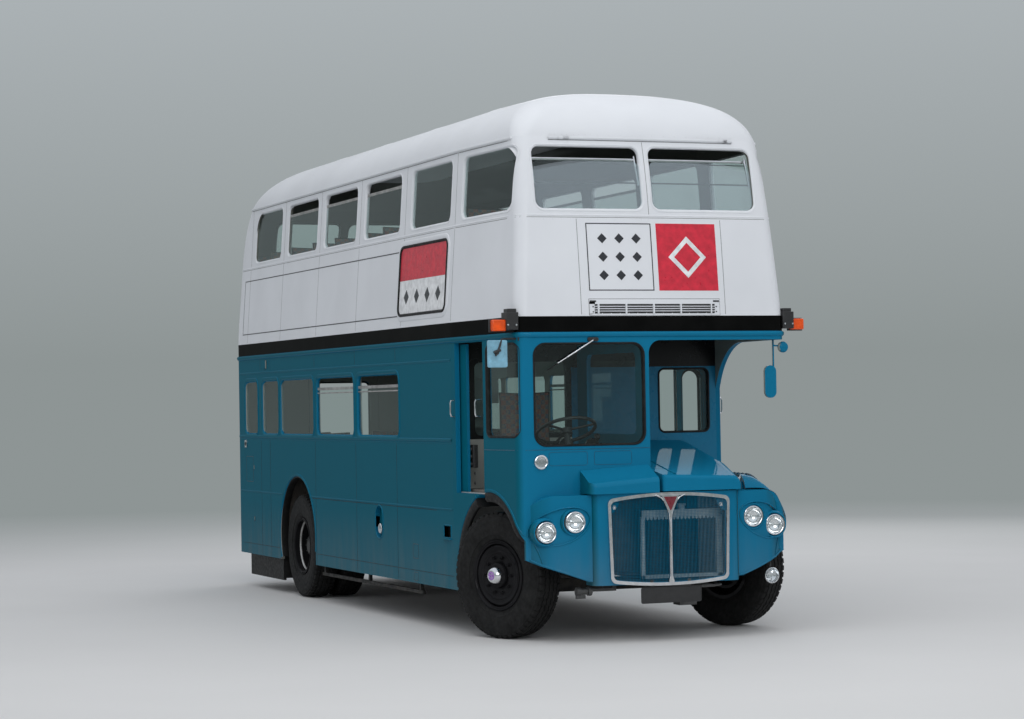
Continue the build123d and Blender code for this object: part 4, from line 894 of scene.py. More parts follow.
# Tread columns: across, depth of the groove, zigzag
TREAD = ((0.108, 0.02, 0), (0.1065, 0.01, 0), (0.101, 0.0055, 0), (0.092, 0.0032, 0), (0.07, 0.002, 1),
         (0.068, 0.011, 1), (0.06, 0.011, 1), (0.058, 0.0015, 1), (0.028, 0.0006, -1), (0.026, 0.01, -1),
         (0.018, 0.01, -1), (0.016, 0.0004, -1))
# Side wall: across, radius
WALL_LINE = ((0.09, 0.264), (0.094, 0.27), (0.1, 0.283), (0.104, 0.288), (0.106, 0.3), (0.1145, 0.32),
             (0.1185, 0.322), (0.12, 0.345), (0.1225, 0.36), (0.124, 0.384), (0.1245, 0.4), (0.1225, 0.418),
             (0.1235, 0.422), (0.121, 0.436), (0.118, 0.452), (0.115, 0.464), (0.1165, 0.468), (0.112, 0.474))
# Rim ring: outward, radius
RIM_RING = [(0.092, 0.28), (0.108, 0.281), (0.113, 0.277), (0.112, 0.268), (0.106, 0.262)]


def tyre(shape, place):
    """Tyre with moulded side walls, zigzag ribs and notched shoulders, turned about its own X."""
    band_columns = list(TREAD) + [(-x, depth, zig) for x, depth, zig in TREAD[::-1]]
    far_wall = [(-x, radius) for x, radius in WALL_LINE[::-1]]
    rows = []
    for unit in range(TREAD_UNITS):
        for part, notch in ((0.0, 0), (0.66, 0), (0.7, 1), (0.96, 1)):
            turn = 2 * pi * (unit + part) / TREAD_UNITS
            zigzag = TREAD_ZIGZAG if part < 0.5 else -TREAD_ZIGZAG
            row = list(WALL_LINE)
            for x, depth, zig in band_columns:
                cut = NOTCH_DEPTH if notch and abs(x) > NOTCH_FROM else 0
                row.append((x + zig * zigzag, TYRE_R - depth - cut))
            row += far_wall
            rows.append([place @ Vector((x, radius * cos(turn), radius * sin(turn))) for x, radius in row])
    shape.grid(rows, closed_rows=True)


def tyres():
    smooth = {"flat": 32, "doubles": False}
    for side, name in SIDES:
        shape = Shape()
        tyre(shape, front_wheel_place(side))
        tread = shape.piece("tread_front_" + name, "tyre_rubber", "wheel_front_" + name, **smooth)
        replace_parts(tread, "tyre_front_" + name)
    for side, name in SIDES:
        shape = Shape()
        inner = Matrix.Translation((-side * TWIN, 0, 0)) @ Matrix.Rotation(radians(3), 4, "X")
        tyre(shape, rear_wheel_place(side))
        tyre(shape, rear_wheel_place(side) @ inner)
        tread = shape.piece("treads_rear_" + name, "tyre_rubber", "wheels_rear_" + name, **smooth)
        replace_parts(tread, "tyres_rear_" + name)


def nuts(shape, place, side, radius, across, count, size=0.014, high=0.018):
    """Ring of hexagon nuts with stud ends."""
    axis = place.to_3x3() @ OUT[side]
    nut = [(0, size * 1.3), (0.003, size * 1.3), (0.003, size), (high, size), (high + 0.002, size * 0.8),
           (high + 0.002, size * 0.5), (high + 0.012, size * 0.5), (high + 0.013, 0.001)]
    for turn in turns(count):
        foot = place @ Vector((side * across, radius * cos(turn), radius * sin(turn)))
        shape.lathe(nut, foot, axis, 6)


def turned(shape, place, side, profile, steps=48):
    """Profile of (outward, radius) turned about the wheel's axle."""
    shape.lathe(profile, place.translation, place.to_3x3() @ OUT[side], steps)


def front_wheel_details(side, name, place):
    """Rim ring, two rings on the disc, nuts and hub in black, bright hub cap with its violet badge."""
    black, bright, violet = Shape(), Shape(), Shape()
    body = "wheel_front_" + name
    turned(black, place, side, RIM_RING + [(0.098, 0.258), (0.094, 0.254)])
    turned(black, place, side, [(0.1, 0.236), (0.104, 0.23), (0.1, 0.222), (0.097, 0.205)])
    turned(black, place, side, [(0.096, 0.196), (0.101, 0.19), (0.101, 0.178), (0.097, 0.172)])
    nuts(black, place, side, 0.143, 0.096, 10)
    turned(black, place, side, [(0.1, 0.1), (0.118, 0.096), (0.126, 0.086), (0.128, 0.07)])
    turned(bright, place, side, [(0.128, 0.074), (0.136, 0.074), (0.146, 0.07), (0.16, 0.062), (0.172, 0.052),
                                 (0.178, 0.044), (0.1785, 0.036), (0.175, 0.034), (0.175, 0.001)])
    turned(violet, place, side, [(0.1755, 0.033), (0.1795, 0.03), (0.1795, 0.02), (0.177, 0.018)], 32)
    turned(violet, place, side, [(0.1755, 0.014), (0.179, 0.011), (0.1795, 0.001)], 32)
    violet.piece("hub_badge_" + name, "wheel_paint", body, flat=35, material=MATERIALS["hub_violet"])
    black.piece("wheel_rings_" + name, "wheel_paint", body, flat=35)
    bright.piece("hub_cap_" + name, "bright_trim", body, flat=35)


def rear_wheel_details(side, name, place):
    """Rim ring, worn bright ring, and the dull hub with its two rings of nuts."""
    black, bright, dull = Shape(), Shape(), Shape()
    body = "wheels_rear_" + name
    turned(black, place, side, RIM_RING + [(0.098, 0.256), (0.09, 0.252)])
    worn_ring = [(0.06, 0.2495), (0.062, 0.244), (0.05, 0.236), (0.044, 0.2365), (0.05, 0.2495)]
    turned(bright, place, side, worn_ring)
    nuts(dull, place, side, 0.15, -0.128, 10)
    turned(dull, place, side, [(0.02, 0.092), (0.034, 0.088), (0.04, 0.078), (0.04, 0.066), (0.036, 0.062),
                               (0.042, 0.05), (0.044, 0.001)])
    nuts(dull, place, side, 0.076, 0.036, 8, 0.007, 0.006)
    black.piece("rear_wheel_ring_" + name, "wheel_paint", body, flat=35)
    bright.piece("rear_wheel_bright_ring_" + name, "rusty_steel", body, flat=35,
                 material=MATERIALS["dull_plate"])
    dull.piece("rear_hub_" + name, "cast_metal", body, flat=35)


def wheel_details():
    for side, name in SIDES:
        front_wheel_details(side, name, front_wheel_place(side))
    for side, name in SIDES:
        rear_wheel_details(side, name, rear_wheel_place(side))


# Lamps

# Headlamps: distance from the centre line, level, station of the rim
HEADLAMPS = ((0.761, 0.938, -0.868), (0.978, 0.863, -0.812))
# Blocks of the corner lamps: shape, distances from the centre line, stations, levels
CORNER_LAMPS = (("amber", 1.23, 1.342, -0.69, -0.632, 2.416, 2.504),
                ("black", 1.222, 1.352, -0.64, -0.618, 2.408, 2.512),
                ("black", 1.15, 1.23, -0.69, -0.62, 2.436, 2.484),
                ("black", 1.14, 1.238, -0.715, -0.6, 2.425, 2.56),
                ("black", 1.15, 1.224, -0.7, -0.615, 2.555, 2.588))


def headlamps():
    cups, rims, bowls, lenses = Shape(), Shape(), Shape(), Shape()
    for side in (-1, 1):
        for x, z, station in HEADLAMPS:
            centre = Vector((side * x, back(station), z))
            cups.lathe([(-0.06, 0.116), (-0.02, 0.113), (-0.004, 0.108), (0.004, 0.102), (0.005, 0.096),
                        (-0.001, 0.091), (-0.014, 0.088), (-0.05, 0.087)], centre, AHEAD, 48)
            rims.lathe([(-0.03, 0.0855), (0.004, 0.085), (0.011, 0.0815), (0.0125, 0.0765), (0.0105, 0.0725),
                        (0.004, 0.071), (-0.006, 0.0705)], centre, AHEAD, 48)
            bowls.lathe([(-0.002, 0.071), (-0.02, 0.064), (-0.036, 0.049), (-0.047, 0.029), (-0.051, 0.012),
                         (-0.051, 0.0005)], centre, AHEAD, 40)
            bulb = [(-0.05, 0.009), (-0.026, 0.009), (-0.02, 0.006), (-0.018, 0.0005)]
            bowls.lathe(bulb, centre, AHEAD, 16)
            lenses.lathe([(0.002, 0.0715), (0.012, 0.066), (0.019, 0.056), (0.025, 0.039), (0.028, 0.02),
                          (0.0288, 0.0005)], centre, AHEAD, 48)
    cups.piece("headlamp_cups", "body_paint")
    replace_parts(rims.piece("headlamp_rims", "bright_trim"), "headlamps")
    bowls.piece("headlamp_reflectors", "bright_trim", material=MATERIALS["reflector"])
    lenses.piece("headlamp_lenses", "lamp_lens", material=MATERIALS["fluted_glass"])


def small_lamps():
    """Side lamp, fog lamp, amber corner lamps on their black brackets, and tail lamps."""
    shapes = {name: Shape() for name in ("bright", "clear", "amber", "black", "red")}
    bright, clear = shapes["bright"], shapes["clear"]
    spot = on_front(LOWER_SKIN, -0.978, 1.402)
    bright.lathe([(-0.01, 0.061), (0.006, 0.06), (0.015, 0.055), (0.018, 0.048), (0.015, 0.042),
                  (0.006, 0.039)], spot, AHEAD)
    bright.lathe([(0.004, 0.04), (0.002, 0.022), (0.002, 0.0005)], spot, AHEAD)
    clear.lathe([(0.006, 0.04), (0.014, 0.035), (0.02, 0.024), (0.022, 0.0005)], spot, AHEAD)

    fog = Vector((0.952, back(-0.806), 0.46))
    bright.lathe([(-0.066, 0.004), (-0.064, 0.022), (-0.052, 0.042), (-0.03, 0.056), (-0.006, 0.0625),
                  (0.002, 0.064), (0.006, 0.062), (0.007, 0.057), (0.003, 0.0555), (-0.02, 0.048), (-0.04, 0.025),
                  (-0.044, 0.0005)], fog, AHEAD, 40)
    clear.lathe([(0.003, 0.0565), (0.01, 0.048), (0.015, 0.03), (0.017, 0.0005)], fog, AHEAD, 40)
    stem = ((-0.775, 0.515), (-0.775, 0.56), (-0.76, 0.6))
    shapes["black"].tube([(fog.x, back(station), level) for station, level in stem], 0.009)
    shapes["black"].block((fog.x - 0.027, back(-0.78), 0.588), (fog.x + 0.027, back(-0.735), 0.596))

    for side in (-1, 1):
        for name, x0, x1, start, end, low, high in CORNER_LAMPS:
            shapes[name].block((side * x0, back(start), low), (side * x1, back(end), high))
        for x in (1.158, 1.226):
            bolt = [(0, 0.008), (0.004, 0.008), (0.005, 0.0005)]
            bright.lathe(bolt, (side * x, back(-0.715), 2.462), AHEAD, 6)
        for name, level, size in (("red", 0.9, 0.05), ("amber", 1.03, 0.04)):
            point = on_rear(LOWER_SKIN, side * 0.98, level)
            bezel = [(-0.004, size + 0.012), (0.01, size + 0.01), (0.014, size + 0.004), (0.01, size)]
            bright.lathe(bezel, point, ASTERN)
            lens = [(0.004, size), (0.009, size * 0.8), (0.0115, size * 0.5), (0.012, 0.0005)]
            shapes[name].lathe(lens, point, ASTERN)
    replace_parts(shapes["amber"].piece("amber_lamps", "amber_plastic", round_edges=0.008), "small_lamps")
    bright.piece("lamp_rims", "bright_trim")
    clear.piece("clear_lenses", "lamp_lens", material=MATERIALS["fluted_glass"])
    shapes["black"].piece("lamp_brackets", "black_plastic", round_edges=0.006)
    shapes["red"].piece("tail_lenses", "amber_plastic", material=MATERIALS["red_lens"])


# Grille and the front

GRILLE_Y, GRILLE_BOW = -4.191, 7
WIRES, WIRES_FROM, WIRE_PITCH = 56, 0.462, 0.012
# Brackets below the front: X, stations, levels
FRONT_BRACKETS = ((-0.735, -0.66, -0.815, -0.785, 0.345, 0.372), (-0.63, -0.4, -0.812, -0.76, 0.395, 0.42),
                  (-0.43, -0.395, -0.8, -0.6, 0.4, 0.47), (0.285, 0.4, -0.905, -0.7, 0.398, 0.42),
                  (0.18, 0.33, -0.72, -0.6, 0.25, 0.43))
# Where the nearside wing's corner rounding begins and ends
WING_ROUND_X, WING_ROUND_Z = (0.9, HALF), (0.8, 1.142)
WING_CELL = 0.02
# The wing's domed top: stations of its level stretch, run of its round ends, height, foot level, outer edge
DOME_FLAT, DOME_RUN, DOME_HEIGHT, DOME_FOOT, DOME_EDGE = (-0.5, 0.08), 0.222, 0.122, 1.14, 1.105
# Wheel arches: side, station, level of the middle, radius, first and last angle
ARCHES = ((-1, -0.13, 0.52, 0.645, 4, 172), (1, -0.13, 0.52, 0.645, 8, 172),
          (-1, 5.065, 0.593, 0.597, -22, 202), (1, 5.065, 0.593, 0.597, -22, 202))
ARCH_BEAD = [(0.022, -0.001), (0.02, 0.004), (0.01, 0.008), (0.001, 0.006), (-0.004, 0.0), (-0.004, -0.02)]
FRONT_LIP = [(-0.003, -0.004), (-0.014, 0.006), (-0.06, 0.004), (-0.08, -0.012), (-0.078, -0.034),
             (-0.004, -0.04)]
REAR_LIP = [(-0.003, -0.006), (-0.016, -0.006), (-0.02, -0.04), (-0.004, -0.08)]

def bow(x, ahead=0.0):
    """Y of the bowed grille face at a distance from its middle."""
    return GRILLE_Y + GRILLE_BOW - sqrt(GRILLE_BOW ** 2 - x * x) - ahead


def grille_details():
    """Cross wires, the pointed head over the centre strip, corner beads and corner gussets."""
    wires, bright, red, blue = Shape(), Shape(), Shape(), Shape()
    for k in range(WIRES):
        z = WIRES_FROM + k * WIRE_PITCH
        half = 0.486 + 0.018 * (z - WIRES_FROM) / 0.65
        path = [Vector((x, bow(x) + 0.0255, z)) for x in evenly(-half, half, 24)]
        wires.sweep(path, AHEAD, UP, [(-0.0009, 0), (0, 0.0009), (0.0009, 0)])
    wires.piece("grille_cross_wires", "body_paint", flat=60, material=MATERIALS["mesh_paint"])
    # the head narrows downwards: bright edge and plain dark inside
    outer = ((-0.08, 1.132), (0.08, 1.132), (0.01, 0.985), (-0.01, 0.985))
    bright.slab([(x, bow(x, 0.004), z) for x, z in outer], (0, 0.01, 0))
    inner = ((-0.056, 1.117), (0.056, 1.117), (0.003, 1.01), (-0.003, 1.01))
    red.slab([(x, bow(x, 0.0055), z) for x, z in inner], (0, 0.004, 0))
    bead_line = ((0.006, 0.93), (0.01, 0.985), (0.024, 1.032), (0.048, 1.08), (0.08, 1.112), (0.125, 1.132))
    for side in (-1, 1):
        bright.tube([(side * x, bow(x) + 0.002, z) for x, z in bead_line], 0.006)
    bright.tube([(0, bow(0, 0.003), 0.94), (0, bow(0, 0.003), 0.47)], 0.005)
    foot = ((-0.012, 0.5), (0.012, 0.5), (0.024, 0.462), (0.016, 0.446), (-0.016, 0.446), (-0.024, 0.462))
    bright.slab([(x, bow(0, 0.004), z) for x, z in foot], (0, 0.012, 0))
    gusset = ((0.5, 1.1), (0.4, 1.112), (0.42, 1.06), (0.456, 1.01), (0.505, 0.985))
    for side in (-1, 1):
        blue.slab([(side * x, bow(x) + 0.032, z) for x, z in gusset], (0, 0.005, 0))
        bright.lathe([(0, 0.017), (0.005, 0.017), (0.006, 0.008), (0.012, 0.007), (0.013, 0.0005)],
                     (side * 0.455, bow(0.455) + 0.032, 1.043), AHEAD, 20)
    bright.piece("grille_head", "bright_trim", round_edges=0.002)
    red.piece("grille_head_field", "amber_plastic", material=MATERIALS["dark_red"])
    blue.piece("grille_gussets", "body_paint", round_edges=0.001)


def radiator_shell():
    """Pale header tank with scalloped edge and side columns in front of the core."""
    shell, fins = Shape(), Shape()
    y0, y1 = back(-0.768), back(-0.737)
    low, shoulder, high = 0.472, 0.95, 1.006
    shell.block((-0.15, y0, shoulder), (0.53, y1, high))
    neck = (0.19, back(-0.752))
    shell.tube([(*neck, 1.0), (*neck, 1.04)], 0.03, 20)
    shell.tube([(*neck, 1.036), (*neck, 1.052)], 0.038, 20)
    scallop = ((-0.012, 0.952), (0.012, 0.952), (0.012, 0.936), (0, 0.926), (-0.012, 0.936))
    for k in range(21):
        x = -0.135 + k * 0.0325
        shell.slab([(x + across, y0 + 0.002, level) for across, level in scallop], (0, 0.004, 0))
    for x0, x1 in ((-0.157, -0.13), (0.492, 0.54)):
        shell.block((x0, y0, low), (x1, y1, shoulder + 0.005))
    shell.block((-0.157, y0, low), (0.54, y1, 0.5))
    shell.piece("radiator_shell", "cast_metal", round_edges=0.003, material=MATERIALS["pale_enamel"])
    for k in range(54):
        x = -0.125 + k * 0.0115
        fins.block((x, back(-0.738), 0.5), (x + 0.003, back(-0.727), 0.935))
    fins.piece("radiator_fins", "radiator_core")


def plate_and_brackets():
    """Blank number plate on two straps, and the spring anchor, towing eye and brackets below the front."""
    plate, steel = Shape(), Shape()
    y = bow(0, -0.012)
    loop = across_loop(y, -0.255, 0.255, 0.298, 0.418, 0.012, 3, 1)
    plate.slab(loop, (0, 0.004, 0))
    plate.tube([point + AHEAD * 0.001 for point in loop], 0.003, 6, closed=True)
    for x in (-0.16, 0.16):
        steel.block((x - 0.014, y + 0.006, 0.32), (x + 0.014, y + 0.01, 0.475))
    steel.block((-0.2, y + 0.01, 0.425), (0.2, back(-0.735), 0.437))
    # spring anchor with its pin at the offside
    for x0, x1, size in ((-0.64, -0.61, 0.036), (-0.7, -0.64, 0.026), (-0.735, -0.7, 0.034)):
        pin = [(0, 0.001), (0, size), (x1 - x0, size), (x1 - x0, 0.001)]
        steel.lathe(pin, (x0, back(-0.8), 0.4), NEARSIDE, 20)
    for x0, x1, start, end, low, high in FRONT_BRACKETS:
        steel.block((x0, back(start), low), (x1, back(end), high))
    steel.tube([(0.4, back(-0.88), 0.408), (0.44, back(-0.88), 0.412), (0.47, back(-0.87), 0.414)], 0.011)
    plate.piece("front_number_plate", "black_plastic", round_edges=0.0)
    steel.piece("front_brackets", "cast_metal", round_edges=0.004)


def wing_round(point):
    """Moves a point of the nearside wing in with its rounded front upper corner."""
    x0, x1 = WING_ROUND_X
    z0, z1 = WING_ROUND_Z
    share = min(1.0, max(0.0, (back(-0.25) - point.y) / 0.2))
    across, rise = (point.x - x0) / (x1 - x0), (point.z - z0) / (z1 - z0)
    if across <= 0 or rise <= 0:
        return point
    x = point.x + (x1 - x0) * across * (sqrt(1 - min(rise, 1) ** 2 / 2) - 1) * share
    z = point.z + (z1 - z0) * rise * (sqrt(1 - min(across, 1) ** 2 / 2) - 1) * share
    return Vector((x, point.y, z))


def dome_point(y, u):
    """Point on the crowned top of the nearside wing, u from the bonnet's side outwards."""
    ahead, behind = max(0.0, back(DOME_FLAT[0]) - y), max(0.0, y - back(DOME_FLAT[1]))
    height = DOME_HEIGHT * sqrt(max(0.0, 1 - (ahead / DOME_RUN) ** 2 - (behind / DOME_RUN) ** 2))
    inner = 0.796 + 0.238 * (y - back(-0.62))
    return wing_round(Vector((inner + (DOME_EDGE - inner) * u, y, DOME_FOOT + height * (1 - u * u))))


def rounded_wing():
    """The nearside wing, cut finely and bent so that its front upper corner is round."""
    node = NODES["wing_left"]
    mesh = bmesh.new()
    mesh.from_mesh(node.data)
    mesh.transform(node.matrix_world)
    cuts = [(NEARSIDE * (WING_ROUND_X[0] + WING_CELL * k), NEARSIDE) for k in range(16)]
    cuts += [(UP * (WING_ROUND_Z[0] + WING_CELL * k), UP) for k in range(17)]
    cuts += [(ASTERN * back(-0.45 + 2 * WING_CELL * k), ASTERN) for k in range(6)]
    for place, normal in cuts:
        parts = mesh.verts[:] + mesh.edges[:] + mesh.faces[:]
        bmesh.ops.bisect_plane(mesh, geom=parts, plane_co=place, plane_no=normal)
    shape = Shape()
    mesh.verts.index_update()
    shape.add([wing_round(vertex.co) for vertex in mesh.verts],
              [[vertex.index for vertex in face.verts] for face in mesh.faces])
    mesh.free()
    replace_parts(shape.piece("nearside_wing", "body_paint", flat=32), "wing_left")


def lamp_beads(beads, side):
    """Bead round a pair of headlamps on one wing and along the wing's lower edge."""
    tilt = radians(-19)
    eyebrow = []
    for a in turns(40):
        u, v = 0.238 * cos(a), 0.134 * sin(a)
        x, z = 0.8695 + u * cos(tilt) - v * sin(tilt), 0.906 + u * sin(tilt) + v * cos(tilt)
        point = on_front(LOWER_SKIN, side * x, z)
        if point and x < 1.19:
            eyebrow.append(point)
    beads.tube(eyebrow, 0.006, closed=True)
    edge = ((0.628, 0.478), (0.7, 0.497), (0.85, 0.552), (1.0, 0.606), (1.08, 0.648), (1.14, 0.68))
    found = [on_front(LOWER_SKIN, side * x, z + 0.004) for x, z in edge]
    beads.tube([point for point in found if point and point.y < back(-0.66)], 0.009)


def arch_lip(beads, lips, side, station, level, radius, start, end):
    """Bead and thick rubber lip round one wheel arch, between two angles in degrees from the front."""
    path, rays = [], []
    last = None
    for angle in evenly(start, end, 40):
        a = radians(angle)
        ray = Vector((0, -cos(a), sin(a)))
        y, z = back(station) + radius * ray.y, level + radius * ray.z
        last = on_side(LOWER_SKIN, side, y + ray.y * 0.014, z + ray.z * 0.014, last)
        if last:
            path.append(Vector((last.x, y, z)))
            rays.append(ray)
    beads.sweep(path, OUT[side], rays, ARCH_BEAD)
    lips.sweep(path, OUT[side], rays, FRONT_LIP if radius > 0.6 else REAR_LIP)


def wing_details():
    """Lamp beads, arch lips, and the nearside wing's domed top with its beads and louvres, whose dark slots are
    painted shade.
    """
    beads, lips, louvre_shade, dome = Shape(), Shape(), Shape(), Shape()
    for side in (-1, 1):
        lamp_beads(beads, side)
    for arch in ARCHES:
        arch_lip(beads, lips, *arch)
    rows = [[dome_point(y, u) for u in evenly(0, 1, 16)] for y in evenly(back(-0.72), back(0.3), 34)]
    dome.grid(rows)
    for j in (0, -1):
        dome.grid([[row[j] for row in rows], [row[j] - UP * 0.03 for row in rows]])
    dome.piece("nearside_wing_top", "body_paint", flat=60)
    for k in range(6):
        path = [dome_point(back(-0.52 + k * 0.115), u) for u in evenly(0.2, 0.8, 8)]
        outs = [Vector((0.35 + 0.08 * j, 0, 0.93 - 0.04 * j)) for j in range(9)]
        beads.sweep(path, outs, ASTERN,
                    [(0.016, -0.001), (0.01, 0.009), (-0.004, 0.013), (-0.01, 0.013), (-0.011, 0.002)])
        # painted shade: a black strip under each hood stands for the dark opening of the louvre
        louvre_shade.sweep(path, outs, ASTERN, [(-0.0105, 0.0115), (-0.022, 0.0006)])
    beads.piece("wing_beads", "body_paint", flat=45)
    lips.piece("arch_lips", "black_rubber", flat=50)
    louvre_shade.piece("louvre_painted_shade", "black_plastic", flat=50)


def bonnet_details():
    """Crease strip along the bonnet and its side catch."""
    tree = skin("bonnet")
    crease, bright = Shape(), Shape()
    path = [tree.ray_cast(Vector((0.07 + 0.125 * t, back(-0.925 + 1.5 * t), 2.3)), -UP)[0]
            for t in evenly(0, 1, 14)]
    crease.sweep(path, UP, NEARSIDE, bead(0.014, 0.006))
    crease.piece("bonnet_crease", "body_paint", "bonnet", flat=50)
    x, y, _ = tree.ray_cast(Vector((2.0, back(-0.763), 1.22)), -NEARSIDE)[0]
    bright.block((x - 0.004, y - 0.018, 1.205), (x + 0.01, y + 0.018, 1.245))
    bright.tube([(x + 0.01, y, 1.23), (x + 0.018, y, 1.236), (x + 0.02, y, 1.262)], 0.005)
    bright.piece("bonnet_catch", "bright_trim", "bonnet", round_edges=0.002)


tyres()
wheel_details()
headlamps()
small_lamps()
grille_details()
radiator_shell()
plate_and_brackets()
rounded_wing()
wing_details()
bonnet_details()

# Painted panels, vent and fittings

# Levels of the front squares; outlines of the vent and of its opening; level of the cab's front seam
FRONT_SQUARES = (2.726, 3.258)
VENT = (-0.553, 0.568, 2.533, 2.659)
VENT_OPENING = (-0.51, 0.525, 2.546, 2.621)
CAB_SEAM = 1.496
# How far the front glass leans back for its height
FRONT_LEAN = 0.37
# Flush flaps of the lower sides: stations, levels
SIDE_FLAPS = ((1.48, 1.62, 0.56, 0.68), (1.495, 1.605, 0.372, 0.44), (6.64, 6.9, 1.1, 1.36))


def rim(rows):
    """Points round the edge of a grid."""
    return rows[0] + [row[-1] for row in rows[1:]] + rows[-1][-2::-1] + [row[0] for row in rows[-2:0:-1]]


def painted(name, face, outline, material, lift=0.0012, cut=10):
    """Thin painted area on the upper skin: an outline of four (a, b) corners on a face, split into cells."""
    shape = Shape()
    corners = [Vector(corner) for corner in outline]
    rows = []
    for t in evenly(0, 1, cut):
        start, end = corners[0].lerp(corners[3], t), corners[1].lerp(corners[2], t)
        places = [start.lerp(end, s) for s in evenly(0, 1, cut)]
        rows.append([on_skin(UPPER_SKIN, face, a, b) + OUT[face] * lift for a, b in places])
    shape.grid(rows)
    edge = rim(rows)
    shape.grid([edge, [point - OUT[face] * (lift + 0.001) for point in edge]], closed_columns=True)
    return shape.piece(name, "upper_paint", flat=50, material=material)


def oblong(a0, a1, b0, b1):
    return ((a0, b0), (a1, b0), (a1, b1), (a0, b1))


def diamond(a, b, half):
    return ((a, b - half), (a + half, b), (a, b + half), (a - half, b))


def outline_frame(name, face, limits, width, material):
    """Four thin strips round an oblong."""
    a0, a1, b0, b1 = limits
    strips = (oblong(a0, a1, b0, b0 + width), oblong(a0, a1, b1 - width, b1),
              oblong(a0, a0 + width, b0 + width, b1 - width), oblong(a1 - width, a1, b0 + width, b1 - width))
    for number, corners in enumerate(strips):
        painted(name + "_%d" % number, face, corners, material, cut=12)


def panels():
    dark, red, white = MATERIALS["sign_dark"], MATERIALS["sign_red"], MATERIALS["sign_white"]
    # front: a square in a thin dark line with small diamonds, and a red one with an outlined diamond
    low, high = FRONT_SQUARES
    middle = (low + high) / 2
    outline_frame("front_square_line", "front", (-0.547, 0.007, low, high), 0.008, dark)
    for row in range(3):
        for column in range(3):
            place = diamond(-0.27 + (column - 1) * 0.145, middle + (row - 1) * 0.145, 0.04)
            painted("front_diamond_%d_%d" % (row, column), "front", place, dark, cut=2)
    painted("front_red_square", "front", oblong(0.05, 0.569, low, high), red)
    painted("front_red_outer", "front", diamond(0.3095, middle, 0.165), white, 0.002, cut=6)
    painted("front_red_inner", "front", diamond(0.3095, middle, 0.115), red, 0.0028, cut=6)
    # side: the long outlined box stays bare
    outline_frame("side_box_line", -1, (back(1.96), back(6.994), 2.625, 3.19), 0.009, dark)
    side_sign()


def side_sign():
    """Framed panel near the front of the offside: red over white, with a row of diamonds."""
    edge, surround = Shape(), Shape()
    limits = (back(0.742), back(1.921), 2.638, 3.216)
    window_surround(edge, UPPER_SKIN, -1, limits, 0.06,
                    [(0.016, -0.001), (0.018, 0.006), (0.012, 0.014), (0.002, 0.014), (-0.006, 0.008),
                     (-0.008, 0.001)])
    window_surround(surround, UPPER_SKIN, -1, limits, 0.06,
                    [(0.06, -0.001), (0.058, 0.004), (0.05, 0.007), (0.022, 0.007), (0.014, 0.005)])
    edge.piece("side_sign_edge", "black_rubber", flat=50)
    surround.piece("side_sign_surround", "upper_paint", flat=50)
    ahead, behind = limits[0] + 0.004, limits[1] - 0.004
    painted("side_sign_upper", -1, oblong(ahead, behind, 2.93, 3.212), MATERIALS["sign_red"], 0.003)
    painted("side_sign_lower", -1, oblong(ahead, behind, 2.642, 2.929), MATERIALS["sign_white"], 0.003)
    for k in range(4):
        place = diamond(back(0.93 + k * 0.267), 2.786, 0.062)
        painted("side_sign_diamond_%d" % k, -1, place, MATERIALS["sign_dark"], 0.0045, cut=2)


def front_vent():
    """Vent panel low on the upper front: a dark sheet of painted shade behind three slats and five posts."""
    panel, dark, slats, clips = Shape(), Shape(), Shape(), Shape()
    x0, x1, z0, z1 = VENT
    inner_x0, inner_x1, inner_z0, inner_z1 = VENT_OPENING
    depth = 0.004
    columns = evenly(x0, x1, 12)
    inner_columns = evenly(inner_x0, inner_x1, 12)

    def face(x, z, ahead):
        return on_front(UPPER_SKIN, x, z) + AHEAD * ahead

    for low, high in ((z0, inner_z0), (inner_z1, z1)):
        panel.grid([[face(x, z, depth) for x in columns] for z in (low, high)])
    for low, high in ((x0, inner_x0), (inner_x1, x1)):
        panel.grid([[face(x, z, depth) for x in (low, high)] for z in (inner_z0, inner_z1)])
    edge = [face(x, z0, depth) for x in columns] + [face(x, z1, depth) for x in columns[::-1]]
    panel.grid([edge, [point + ASTERN * (depth + 0.001) for point in edge]], closed_columns=True)
    # painted shade: a black sheet on the skin stands for the dark opening behind the slats
    dark.grid([[face(x, z, 0.0008) for x in inner_columns] for z in (inner_z0, inner_z1)])
    for k in range(3):
        path = [face(x, inner_z0 + 0.019 + k * 0.0185, 0.0) for x in inner_columns]
        slats.sweep(path, AHEAD, UP,
                    [(0.004, 0.001), (0.003, 0.009), (-0.0005, 0.01), (-0.004, 0.004), (-0.0035, 0.001)])
    for x in (-0.48, -0.245, -0.01, 0.225, 0.49):
        slats.block(face(x - 0.006, inner_z0, 0.012), face(x + 0.006, inner_z1, 0.001))
    for x in (x0 + 0.03, x1 - 0.03):
        point = face(x, 2.643, 0.005)
        clips.block(point + Vector((-0.026, -0.003, -0.006)), point + Vector((0.026, 0.002, 0.006)))
        for z in (2.56, 2.6):
            clips.lathe([(0, 0.006), (0.003, 0.005), (0.004, 0.0005)], face(x, z, 0.004), AHEAD, 8)
    outline_frame("front_vent_line", "front", (x0 - 0.004, x1 + 0.004, z0 - 0.002, z1 + 0.004), 0.004,
                  MATERIALS["seam"])
    panel.piece("front_vent_panel", "upper_paint", flat=40)
    dark.piece("front_vent_painted_shade", "black_plastic", flat=40)
    slats.piece("front_vent_slats", "upper_paint", flat=40)
    clips.piece("front_vent_clips", "black_plastic", round_edges=0.001)


def front_pane(x, z, ahead=0.0):
    """Point on the leaning front glass of the upper deck."""
    sill = on_front(UPPER_SKIN, x, UPPER_SILL - 0.02)
    y = sill.y + (z - UPPER_SILL) * FRONT_LEAN + 0.004 - ahead
    return Vector((x, y, z))


